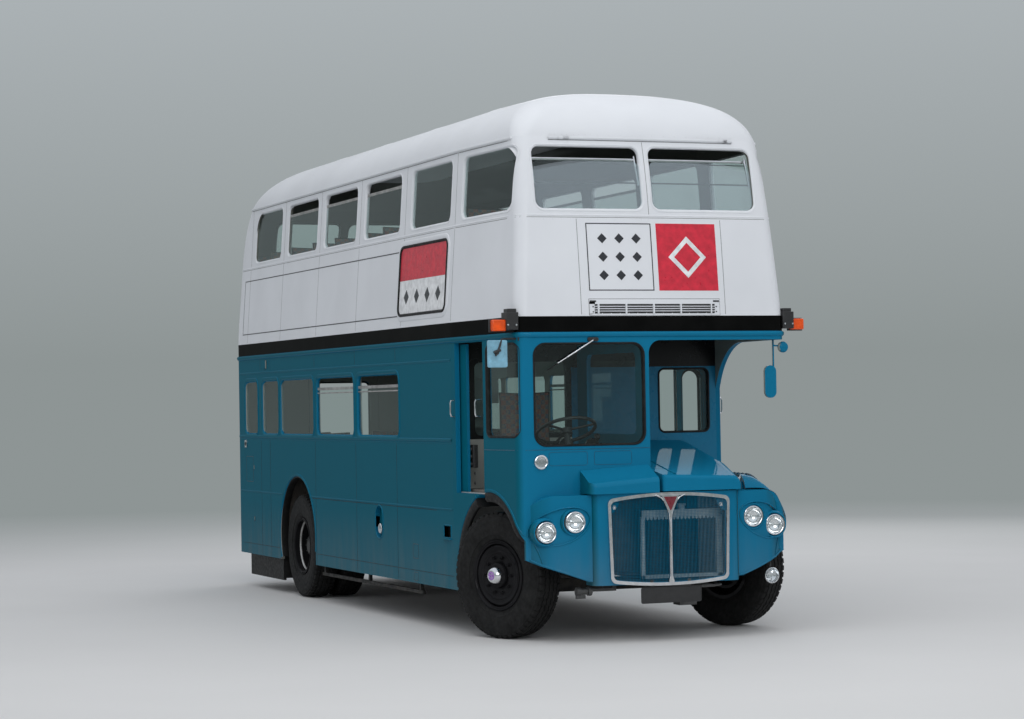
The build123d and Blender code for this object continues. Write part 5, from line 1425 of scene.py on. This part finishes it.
def front_window_fittings():
    """Silver rails over the lowered front glass, upright guides, and rubbers below the rails."""
    bright, dull = Shape(), Shape()
    for x0, x1 in FRONT_PANES:
        steps = evenly(x0 + 0.012, x1 - 0.012, 8)
        for shape, z, half in ((bright, 3.772, 0.01), (dull, 3.745, 0.003)):
            shape.sweep([front_pane(x, z) for x in steps], AHEAD, UP,
                        [(half, -0.012), (half, 0.004), (0.0, 0.007), (-half, 0.004), (-half, -0.012)])
        dull.sweep([front_pane(x, 3.583) for x in steps], AHEAD, UP,
                   [(0.006, -0.002), (0.0, 0.001), (-0.006, -0.002)])
        for x in (x0 + 0.014, x1 - 0.014):
            bright.tube([front_pane(x, z, 0.01) for z in evenly(3.56, 3.8, 3)], 0.01)
    bright.piece("front_window_rails", "bright_trim", flat=45)
    dull.piece("front_window_rubbers", "black_rubber", flat=45)


def side_window_rails():
    """Rails of the lowered and divided side windows on both decks."""
    bright = Shape()
    for side in (-1, 1):
        rails = [(bay, on_side(UPPER_SKIN, side, back(bay[0] - 0.03), 3.765).x, 3.765, 0.013)
                 for bay in UPPER_BAYS[2:5]]
        rails += [(bay, side * HALF, z, half) for bay in LOWER_BAYS[:2]
                  for z, half in ((2.03, 0.013), (1.99, 0.006))]
        for (start, end), skin_x, z, half in rails:
            x = skin_x - side * 0.012
            bright.block((x, back(start + 0.012), z - half), (x - side * 0.01, back(end - 0.012), z + half))
    bright.piece("side_window_rails", "bright_trim", round_edges=0.003, material=MATERIALS["dull_plate"])


def window_corners():
    """Spandrels that give the end windows of the upper deck their large corner curves."""
    shape = Shape()
    # corner: station, level, sense along and up, radius
    corners = ((UPPER_BAYS[0][0], UPPER_HEAD, 1, -1, 0.17), (UPPER_BAYS[0][0], UPPER_SILL, 1, 1, 0.11),
               (UPPER_BAYS[-1][1], UPPER_HEAD, -1, -1, 0.2))
    for side in (-1, 1):
        for station, level, along, rise, radius in corners:
            loop = [(station - along * 0.006, level - rise * 0.006)]
            for turn in evenly(0, pi / 2, 12):
                across, high = radius * (1 - sin(turn)), radius * (1 - cos(turn))
                loop.append((station + along * across, level + rise * high))
            face = []
            for a, b in loop:
                foot = on_side(UPPER_SKIN, side, back(a), UPPER_SILL - 0.02)
                head = on_side(UPPER_SKIN, side, back(a), UPPER_HEAD + 0.02)
                place = foot.lerp(head, (b - foot.z) / (head.z - foot.z))
                face.append((place.x + side * 0.002, back(a), b))
            shape.slab(face, (-side * 0.022, 0, 0))
    shape.piece("upper_window_corners", "upper_paint", round_edges=0.002)


def mirrors():
    """Offside mirror with a pale back and dark clamp; nearside oblong and round heads on one arm."""
    pale, arms, petrol, glass = Shape(), Shape(), Shape(), Shape()
    pale.slab(across_loop(back(-0.7), -1.391, -1.229, 2.136, 2.346, 0.014, 4, 1), (0, 0.018, 0))
    glass.slab(across_loop(back(-0.6815), -1.385, -1.235, 2.142, 2.34, 0.01, 4, 1), (0, 0.003, 0))
    arms.tube([(-1.11, back(-0.672), 2.357), (-1.23, back(-0.672), 2.357), (-1.275, back(-0.69), 2.35),
               (-1.29, back(-0.706), 2.31), (-1.312, back(-0.709), 2.255), (-1.33, back(-0.707), 2.225)], 0.009)
    arms.tube([(-1.29, back(-0.712), 2.27), (-1.345, back(-0.712), 2.25)], 0.012)
    arms.lathe([(-0.012, 0.02), (0.006, 0.02), (0.01, 0.014), (0.011, 0.001)], (-1.318, back(-0.7), 2.252),
               AHEAD, 16)
    arms.block((-1.14, back(-0.7), 2.34), (-1.095, back(-0.65), 2.375))
    post = (1.088, back(-0.632))
    petrol.tube([(*post, 2.405), (*post, 2.06)], 0.0085)
    petrol.tube([(*post, 2.29), (1.17, back(-0.634), 2.284)], 0.007)
    petrol.slab(across_loop(back(-0.668), 0.993, 1.096, 1.87, 2.13, 0.048, 8, 1), (0, 0.026, 0))
    glass.slab(across_loop(back(-0.6415), 0.999, 1.09, 1.876, 2.124, 0.043, 8, 1), (0, 0.003, 0))
    petrol.lathe([(0.0, 0.0005), (0.002, 0.02), (0.01, 0.038), (0.024, 0.045), (0.04, 0.044), (0.04, 0.0005)],
                 (1.173, back(-0.668), 2.277), ASTERN, 32)
    glass.lathe([(0.0, 0.04), (0.002, 0.0005)], (1.173, back(-0.6275), 2.277), ASTERN, 32)
    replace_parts(petrol.piece("nearside_mirrors", "body_paint", round_edges=0.004), "mirrors")
    pale.piece("offside_mirror", "body_paint", round_edges=0.003, material=MATERIALS["pale_blue"])
    arms.piece("mirror_arm", "black_plastic", round_edges=0.002)
    glass.piece("mirror_glasses", "bright_trim", material=MATERIALS["reflector"])


def wiper():
    """Pod above the windscreen, chrome arm and black blade."""
    pod, arm, blade = Shape(), Shape(), Shape()
    y = back(-0.745)
    pivot, tip = Vector((-0.527, y - 0.014, 2.346)), Vector((-0.9, y - 0.019, 2.128))
    pod.slab(across_loop(y - 0.012, -0.578, -0.488, 2.33, 2.362, 0.015, 5, 1), (0, 0.03, 0))
    pod.lathe([(-0.01, 0.016), (0.012, 0.015), (0.018, 0.01), (0.019, 0.0005)], (pivot.x, y - 0.004, pivot.z),
              AHEAD, 20)
    arm.tube([pivot, pivot.lerp(tip, 0.3), pivot.lerp(tip, 0.62)], 0.0062)
    arm.tube([pivot.lerp(tip, 0.6), pivot.lerp(tip, 0.84)], 0.004)
    along = (tip - pivot).normalized()
    for behind, beyond, radius in ((0.006, 0.02, 0.004), (0.012, 0.03, 0.003)):
        drop = Vector((0, behind, -0.004))
        blade.tube([pivot.lerp(tip, 0.52) + drop, tip + along * beyond + drop], radius)
    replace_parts(arm.piece("wiper_arm", "bright_trim"), "wiper")
    pod.piece("wiper_pod", "black_plastic", round_edges=0.003)
    blade.piece("wiper_blade", "black_rubber")


def cab_fittings():
    """Handles, flush panels under the windscreen, and the control box inside the cab doorway."""
    bright, seams, box = Shape(), Shape(), Shape()
    # pull handles: (X or out, level) of the bends, from the foot up
    bends = ((-0.02, 1.758), (0.022, 1.764), (0.027, 1.785), (0.027, 1.87), (0.022, 1.89), (-0.02, 1.896))
    for y, x in ((back(0.54), -HALF - 0.006), (back(-0.012), -1.218)):
        bright.tube([(x - out, y, level) for out, level in bends], 0.0065)
    bends = ((1.18, 1.745), (1.236, 1.75), (1.246, 1.77), (1.246, 1.858), (1.236, 1.878), (1.18, 1.883))
    bright.tube([(across, back(0.64), level) for across, level in bends], 0.0065)
    for x0, x1 in ((-0.909, -0.594), (-0.535, -0.221)):
        loop = rounded_rectangle(x0, x1, 1.372, 1.476, 0.016, 4, 4)
        acrosses = [Vector((u, 0, v)) for _, _, u, v in loop]
        path = [on_front(LOWER_SKIN, a, b) for a, b, _, _ in loop]
        seams.sweep(path, AHEAD, acrosses, strip(0.0035, 0.0012), closed=True)
    path = [on_front(LOWER_SKIN, x, CAB_SEAM) for x in evenly(-1.1, -0.06, 10)]
    seams.sweep([point for point in path if point], AHEAD, UP, bead(0.006, 0.002))
    band(seams, side_run(LOWER_SKIN, -1, CAB_SEAM, -0.68, -0.05, 0.05), bead(0.006, 0.002))
    # control box with three knobs, and two switches below it
    x = -1.095
    box.block((x - 0.03, back(0.36), 1.345), (x + 0.01, back(0.45), 1.53))
    for k in range(3):
        box.lathe([(0, 0.016), (0.012, 0.014), (0.016, 0.008), (0.017, 0.0005)],
                  (x - 0.03, back(0.405), 1.375 + k * 0.06), OUT[-1], 16)
    for z in (1.3, 1.22):
        box.lathe([(0, 0.014), (0.01, 0.01), (0.011, 0.0005)], (x - 0.004, back(0.4), z), OUT[-1], 12)
    bright.piece("cab_handles", "bright_trim")
    seams.piece("cab_front_seams", "black_plastic", flat=50, material=MATERIALS["petrol_shadow"])
    box.piece("cab_control_box", "black_plastic", round_edges=0.006)


def upright_outs(loop):
    """Outward directions of a rounded rectangle that stands along the bus."""
    return [Vector((0, u, v)) for _, _, u, v in loop]


def side_hole(lining, lip, limits, radius, steps, depths, bead_profile):
    """Lined hole in the offside with a bead round it."""
    loop = rounded_rectangle(*limits, radius, *steps)
    rows = [[Vector((-HALF + depth, a, b)) for a, b, _, _ in loop] for depth in depths]
    lining.grid(rows, closed_columns=True)
    lining.slab(rows[-1], (0.004, 0, 0))
    lip.sweep([Vector((-HALF, a, b)) for a, b, _, _ in loop], OUT[-1], upright_outs(loop), bead_profile,
              closed=True)


def lower_side_fittings():
    """Filler cap, foot step, flaps, vents and small plates on the lower sides."""
    dark, bright, petrol = Shape(), Shape(), Shape()
    x = -HALF
    # filler recess: lining, cap and chain
    side_hole(petrol, petrol, (back(2.42), back(2.63), 0.685, 0.98), 0.099, (8, 2), (-0.004, 0.004, 0.04),
              bead(0.016, 0.006))
    cap = [(-0.032, 0.04), (-0.006, 0.04), (-0.004, 0.046), (0.004, 0.046), (0.008, 0.04), (0.009, 0.001)]
    bright.lathe(cap, (x + 0.01, back(2.525), 0.775), OUT[-1], 24)
    bright.block((x - 0.002, back(2.515), 0.772), (x - 0.006, back(2.535), 0.8))
    # foot hole: lining, lip and sill
    y0, y1, z0, z1 = back(0.66), back(0.835), 0.765, 0.87
    rows = [[Vector((x + depth, a, b)) for a, b in oblong(y0, y1, z0, z1)] for depth in (0.0, 0.085)]
    dark.grid(rows, closed_columns=True)
    dark.slab(rows[-1], (0.003, 0, 0))
    loop = rounded_rectangle(y0, y1, z0, z1, 0.006, 3, 4)
    petrol.sweep([Vector((x, a, b)) for a, b, _, _ in loop], OUT[-1], upright_outs(loop), bead(0.014, 0.005),
                 closed=True)
    petrol.block((x - 0.02, y0 - 0.004, z0 - 0.012), (x + 0.03, y1 + 0.004, z0 - 0.002))
    for side in (-1, 1):
        # seams of the flush flaps: the two ahead are on the offside only
        for start, end, low, high in SIDE_FLAPS if side < 0 else SIDE_FLAPS[-1:]:
            loop = rounded_rectangle(back(start), back(end), low, high, 0.012, 3, 3)
            path = [on_side(LOWER_SKIN, side, a, b) for a, b, _, _ in loop]
            if all(path):
                dark.sweep(path, OUT[side], upright_outs(loop), strip(0.0035, 0.001), closed=True)
        point = on_side(LOWER_SKIN, side, back(6.904), 1.49)
        loop = along_loop(point.x + side * 0.001, back(6.87), back(6.938), 1.452, 1.528, 0.01, 3, 1)
        bright.slab(loop, (side * 0.008, 0, 0))
        dark.lathe([(0.006, 0.022), (0.012, 0.02), (0.014, 0.012), (0.015, 0.0005)], point, OUT[side], 20)
        point = on_side(LOWER_SKIN, side, back(6.135), 2.303)
        petrol.block((point.x - 0.002, back(6.09), 2.262), (point.x + side * 0.014, back(6.18), 2.344))
        for level in (1.25, 0.72):
            petrol.block((side * HALF - 0.002, back(6.6), level - 0.02),
                         (side * (HALF + 0.008), back(6.66), level + 0.02))
    dark.piece("side_recesses", "black_plastic", flat=40)
    bright.piece("filler_cap", "bright_trim", round_edges=0.001)
    petrol.piece("side_fittings", "body_paint", flat=45)


panels()
front_vent()
front_window_fittings()
side_window_rails()
window_corners()
mirrors()
wiper()
cab_fittings()
lower_side_fittings()

# Seats and the inside

SEAT_ROWS = {
    (1, 0.66): (2.15, 2.87, 3.59, 5.96, 6.64),
    (-1, 0.66): (2.56, 3.28, 3.9, 5.96, 6.64),
    (1, 2.528): (0.06, 0.78, 1.5, 2.22, 2.94, 3.66, 4.38, 5.1, 5.82, 6.5),
    (-1, 2.528): (0.06, 2.22, 2.94, 3.66, 4.38, 5.1, 5.82, 6.5),
}
SEAT_X = (0.242, 1.088)
PAD_CELLS = (20, 12)
PAD_PULL = 0.01


def fullness(s, t):
    """Height of a stuffed pad over its seams, 0 at the edges and 1 in the middle."""
    return ((1 - abs(2 * s - 1) ** 3) * (1 - abs(2 * t - 1) ** 3)) ** 0.5


def pad(name, low, high, face, channels=1):
    """Crowned closed pad in a box, piped round its edge; face is the axis and sense of its full side."""
    axis, sense = face
    first, second = [k for k in range(3) if k != axis]
    base, depth = (low[axis], high[axis] - low[axis]) if sense > 0 else (high[axis], low[axis] - high[axis])
    body, piping = Shape(), Shape()
    columns, lines = PAD_CELLS
    top, under = [], []
    for t in [(1 - cos(turn)) / 2 for turn in evenly(0, pi, lines)]:
        upper_row, lower_row = [], []
        for s in [(1 - cos(turn)) / 2 for turn in evenly(0, pi, columns)]:
            full = fullness(s, t)
            sewn = max(0.0, 1 - 14 * abs((s * channels + 0.5) % 1 - 0.5)) * full if channels > 1 else 0.0
            place = [0.0, 0.0, 0.0]
            for k, here, other in ((first, s, t), (second, t, s)):
                pull = PAD_PULL * sin(pi * other) * (1 - 2 * here)
                place[k] = low[k] + (high[k] - low[k]) * here + pull
            place[axis] = base + depth * (0.62 + 0.38 * full - 0.16 * sewn)
            upper_row.append(Vector(place))
            place[axis] = base + depth * 0.16 * (1 - full)
            lower_row.append(Vector(place))
        top.append(upper_row)
        under.append(lower_row)
    body.grid(top)
    body.grid(under)
    upper_rim, lower_rim = rim(top), rim(under)
    centre = (Vector(low) + Vector(high)) / 2
    bulge = []
    for upper, lower in zip(upper_rim, lower_rim):
        out = upper - centre
        out[axis] = 0
        bulge.append(upper.lerp(lower, 0.5) + out.normalized() * 0.004)
    body.grid([upper_rim, bulge, lower_rim], closed_columns=True)
    cushion = body.piece(name, "seat_cloth", flat=80)
    piping.tube(upper_rim, 0.0045, 6, closed=True)
    piping.piece(name + "_piping", "black_rubber", flat=80)
    return cushion


def saloon_seats():
    """Cushion and back of each two-seat bench and of the inward-facing ones, with dark rear shells."""
    shells, cushions = Shape(), []
    places = [(side, floor, back(station)) for (side, floor), rows in SEAT_ROWS.items() for station in rows]
    for number, (side, floor, y) in enumerate(places):
        x0, x1 = sorted((side * SEAT_X[0], side * SEAT_X[1]))
        low, high = (x0, y + 0.004, floor + 0.332), (x1, y + 0.418, floor + 0.444)
        cushions.append(pad("cushion_%02d" % number, low, high, (2, 1), 2))
        low, high = (x0, y + 0.423, floor + 0.404), (x1, y + 0.488, floor + 0.928)
        pad("squab_%02d" % number, low, high, (1, -1), 2)
        loop = across_loop(y + 0.488, x0 + 0.01, x1 - 0.01, floor + 0.412, floor + 0.922, 0.05, 5, 4)
        shells.slab(loop, (0, 0.011, 0))
    for side in (-1, 1):
        for k in range(2):
            start = back(4.463) + k * 0.609
            end = start + 0.605
            x0, x1 = sorted((side * 0.622, side * 1.107))
            pad("bench_cushion_%d_%d" % (k, side > 0), (x0, start, 1.217), (x1, end, 1.304), (2, 1))
            x0, x1 = sorted((side * 1.112, side * 1.177))
            pad("bench_squab_%d_%d" % (k, side > 0), (x0, start, 1.31), (x1, end, 1.579), (0, -side))
    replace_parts(cushions[0], "seats")
    shells.piece("squab_shells", "black_plastic", round_edges=0.003)


def driving_seat():
    """Driver's seat: pedestal, cushion and back."""
    stand = Shape()
    stand.block((-0.78, back(0.15), 1.172), (-0.42, back(0.52), 1.205))
    pillar = [(0.0, 0.11), (0.03, 0.075), (0.16, 0.07), (0.19, 0.12), (0.2, 0.0005)]
    stand.lathe(pillar, (-0.6, back(0.335), 1.205), UP, 24)
    stand.block((-0.815, back(0.135), 1.402), (-0.385, back(0.53), 1.428))
    stand.slab(across_loop(back(0.582), -0.805, -0.395, 1.505, 1.935, 0.08, 6, 3), (0, 0.014, 0))
    for x in (-0.78, -0.42):
        stand.tube([(x, back(0.5), 1.415), (x, back(0.588), 1.43), (x, back(0.59), 1.56)], 0.011)
    cushion = pad("driver_cushion", (-0.828, back(0.122), 1.43), (-0.372, back(0.528), 1.518), (2, 1))
    pad("driver_squab", (-0.818, back(0.53), 1.502), (-0.382, back(0.582), 1.948), (1, -1))
    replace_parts(cushion, "driver_seat")
    stand.piece("driver_seat_stand", "cast_metal", round_edges=0.004)


def cab_controls():
    """Dials, switches, levers and pedals."""
    rims, faces, black, knobs = Shape(), Shape(), Shape(), Shape()
    facing = (0, 1, 0.25)
    for x, size in ((-0.82, 0.055), (-0.6, 0.062), (-0.38, 0.055)):
        spot = Vector((x, back(-0.33), 1.52))
        rim_profile = [(-0.004, size), (0.01, size), (0.014, size - 0.006), (0.008, size - 0.009)]
        rims.lathe(rim_profile, spot, facing, 28)
        faces.lathe([(0.006, size - 0.008), (0.0065, 0.0005)], spot, facing, 28)
        black.block((x - 0.002, spot.y + 0.006, 1.52), (x + 0.002, spot.y + 0.01, 1.52 + size * 0.7))
    for k in range(6):
        knobs.lathe([(-0.004, 0.009), (0.018, 0.009), (0.024, 0.005), (0.025, 0.0005)],
                    (-0.98 + k * 0.045, back(-0.332), 1.44), ASTERN, 12)
    black.tube([(-0.24, back(-0.2), 1.17), (-0.245, back(-0.14), 1.42), (-0.262, back(-0.17), 1.56)], 0.011)
    black.lathe([(0.0, 0.014), (0.02, 0.024), (0.045, 0.022), (0.055, 0.0005)], (-0.262, back(-0.17), 1.555),
                (-0.1, -0.1, 1), 16)
    black.tube([(-0.93, back(0.1), 1.172), (-0.935, back(0.02), 1.36), (-0.94, back(-0.04), 1.52)], 0.012)
    for x in (-0.74, -0.6, -0.46):
        black.tube([(x, back(-0.48), 1.172), (x, back(-0.44), 1.3)], 0.009)
        black.block((x - 0.042, back(-0.452), 1.285), (x + 0.042, back(-0.436), 1.365))
    rims.piece("dial_rims", "bright_trim")
    faces.piece("dial_faces", "black_plastic", flat=40)
    black.piece("cab_levers", "black_plastic", round_edges=0.002)
    knobs.piece("dash_knobs", "bright_trim")


# Doors, rear and roof

LEAF_SEAL = [(0.01, -0.001), (0.009, 0.005), (0.002, 0.006), (-0.006, 0.004), (-0.008, -0.004)]


def entrance_leaves():
    """Rubber round each tall leaf window, on both faces of the leaf."""
    for name in LEAVES:
        seal = Shape()
        node = NODES[name]
        corners = [node.matrix_world @ Vector(corner) for corner in node.bound_box]
        x0, x1 = min(c.x for c in corners), max(c.x for c in corners)
        centre_y = sum(c.y for c in corners) / 8
        loop = rounded_rectangle(x0 + 0.055, x1 - 0.055, 0.95, 2.12, 0.085, 8, 6)
        acrosses = [Vector((u, 0, v)) for _, _, u, v in loop]
        for out in (AHEAD, ASTERN):
            y = centre_y + out.y * 0.0125
            seal.sweep([Vector((a, y, b)) for a, b, _, _ in loop], out, acrosses, LEAF_SEAL, closed=True)
        seal.piece(name + "_seal", "black_rubber", name, flat=50)


def rear_fittings():
    """Blank number plate under its bar and two lamps, and the emergency door's handle."""
    bright, dark, handle = Shape(), Shape(), Shape()
    tree = skin("lower_rear", "rear_door")
    x, y, _ = on_rear(tree, -0.45, 0.56)
    dark.slab(across_loop(y - 0.03, -0.96, -0.44, 0.5, 0.62, 0.012, 4, 4), (0, 0.037, 0))
    bright.block((-0.975, y - 0.03, 0.628), (-0.425, y + 0.03, 0.64))
    for x in (-0.9, -0.5):
        bright.lathe([(0.0, 0.02), (0.02, 0.02), (0.024, 0.012), (0.025, 0.0005)], (x, y + 0.006, 0.662),
                     (0, 1, -0.6), 16)
    bright.piece("rear_plate_lamps", "bright_trim", round_edges=0.002)
    dark.piece("rear_plate_blank", "black_plastic", round_edges=0.003)
    spot = on_rear(tree, 0.33, 1.36)
    boss = [(-0.004, 0.03), (0.006, 0.028), (0.01, 0.014), (0.04, 0.011), (0.042, 0.0005)]
    handle.lathe(boss, spot, ASTERN, 24)
    bends = ((0, 0.034, 0), (-0.05, 0.038, -0.002), (-0.11, 0.036, -0.008))
    handle.tube([spot + Vector(bend) for bend in bends], 0.01)
    handle.piece("rear_door_handle", "bright_trim", "rear_door")


def roof_seams():
    """Rubbed seams over the roof."""
    seams = Shape()
    tree = skin("roof")
    for station in (0.7, 2.1, 3.5, 4.9, 6.3):
        hits = [tree.ray_cast(Vector((x, back(station), 2 * FAR)), -UP)[0] for x in evenly(-1.04, 1.04, 32)]
        seams.sweep([point for point in hits if point], UP, ASTERN, bead(0.022, 0.003))
    seams.piece("roof_seams", "upper_paint", flat=50)


saloon_seats()
driving_seat()
cab_controls()
entrance_leaves()
rear_fittings()
roof_seams()

# Stage, lamps and camera

HORIZON = (0.27, 0.3, 0.3)
SKY = (0.74, 0.79, 0.85)
SOFT_LIGHT = 0.62
FLOOR_HALF = 60
# Camera: place, and yaw, pitch and roll in radians
CAMERA_PLACE = (-8.307, -22.101, 1.845)
CAMERA_TURN = (0.373, 0.018, -0.017)


def stage():
    """Pale floor that fades into the backdrop, and the soft surroundings."""
    mesh = bpy.data.meshes.new("floor")
    corners = [(x, y, 0) for x, y in oblong(-FLOOR_HALF, FLOOR_HALF, -FLOOR_HALF, FLOOR_HALF)]
    mesh.from_pydata(corners, [], [(0, 1, 2, 3)])
    floor = bpy.data.objects.new("floor", mesh)
    bpy.context.scene.collection.objects.link(floor)
    m = Nodes("studio_floor", (0.62, 0.62, 0.61), 0.9)
    m.color(m.blend(m.noise(0.6), (0.6, 0.6, 0.6), (0.64, 0.64, 0.64)))
    far = m.new("VectorMath")
    far.operation = "LENGTH"
    m.link(m.place, far.inputs[0])
    glow = m.new("Emission", Color=(*HORIZON, 1))
    fade = m.ramp(far.outputs["Value"], 8, 24, 0.0, 1.0)
    m.surface(mixed(m.tree, fade, m.shader.outputs["BSDF"], glow.outputs["Emission"]))
    floor.data.materials.append(m.material)
    surroundings()


def surroundings():
    """Even pale light from all round; glass, gloss and the camera see a grey backdrop that pales upwards."""
    world = bpy.data.worlds.new("studio")
    bpy.context.scene.world = world
    world.use_nodes = True
    tree = world.node_tree
    background = tree.nodes["Background"]
    background.inputs["Color"].default_value = (0.93, 0.96, 1.0, 1)
    background.inputs["Strength"].default_value = SOFT_LIGHT
    shown = tree.nodes.new("ShaderNodeBackground")
    coords = tree.nodes.new("ShaderNodeTexCoord")
    height = tree.nodes.new("ShaderNodeSeparateXYZ")
    tree.links.new(coords.outputs["Generated"], height.inputs["Vector"])
    sky = tree.nodes.new("ShaderNodeValToRGB")
    for element, place, color in zip(sky.color_ramp.elements, (0.02, 0.5), (HORIZON, SKY)):
        element.position = place
        element.color = (*color, 1)
    tree.links.new(height.outputs["Z"], sky.inputs["Fac"])
    tree.links.new(sky.outputs["Color"], shown.inputs["Color"])
    rays = tree.nodes.new("ShaderNodeLightPath")
    light = background.outputs["Background"]
    for ray in ("Is Glossy Ray", "Is Transmission Ray", "Is Camera Ray"):
        light = mixed(tree, rays.outputs[ray], light, shown.outputs["Background"])
    tree.links.new(light, tree.nodes["World Output"].inputs["Surface"])


def lamp(name, place, aim, width, height, power):
    """Soft rectangular lamp aimed at a point."""
    data = bpy.data.lights.new(name, "AREA")
    data.shape = "RECTANGLE"
    data.size = width
    data.size_y = height
    data.energy = power
    light = bpy.data.objects.new(name, data)
    light.location = place
    light.rotation_euler = (Vector(aim) - Vector(place)).to_track_quat("-Z", "Y").to_euler()
    bpy.context.scene.collection.objects.link(light)
    return light


def lamps():
    overhead = lamp("overhead", (-3, -6, 13), (0, 0, 2), 14, 14, 700)
    overhead.visible_glossy = False
    lamp("front_fill", (-3, -17, 7), (0, -2, 2), 8, 6, 420)
    lamp("rear_fill", (10, 12, 7), (0, 0, 2), 10, 6, 300)


def camera():
    """Camera at the photograph's place and angle."""
    yaw, pitch, roll = CAMERA_TURN
    forward = Vector((sin(yaw) * cos(pitch), cos(yaw) * cos(pitch), sin(pitch)))
    level = Vector((cos(yaw), -sin(yaw), 0))
    rise = level.cross(forward)
    right = cos(roll) * level + sin(roll) * rise
    up = -sin(roll) * level + cos(roll) * rise
    data = bpy.data.cameras.new("camera")
    data.lens = 89.29
    data.sensor_width = 36
    data.clip_end = 200
    view = bpy.data.objects.new("camera", data)
    view.matrix_world = Matrix.Translation(CAMERA_PLACE) @ Matrix((right, up, -forward)).transposed().to_4x4()
    bpy.context.scene.collection.objects.link(view)
    bpy.context.scene.camera = view


stage()
lamps()
camera()
bpy.context.scene.view_settings.view_transform = "Standard"
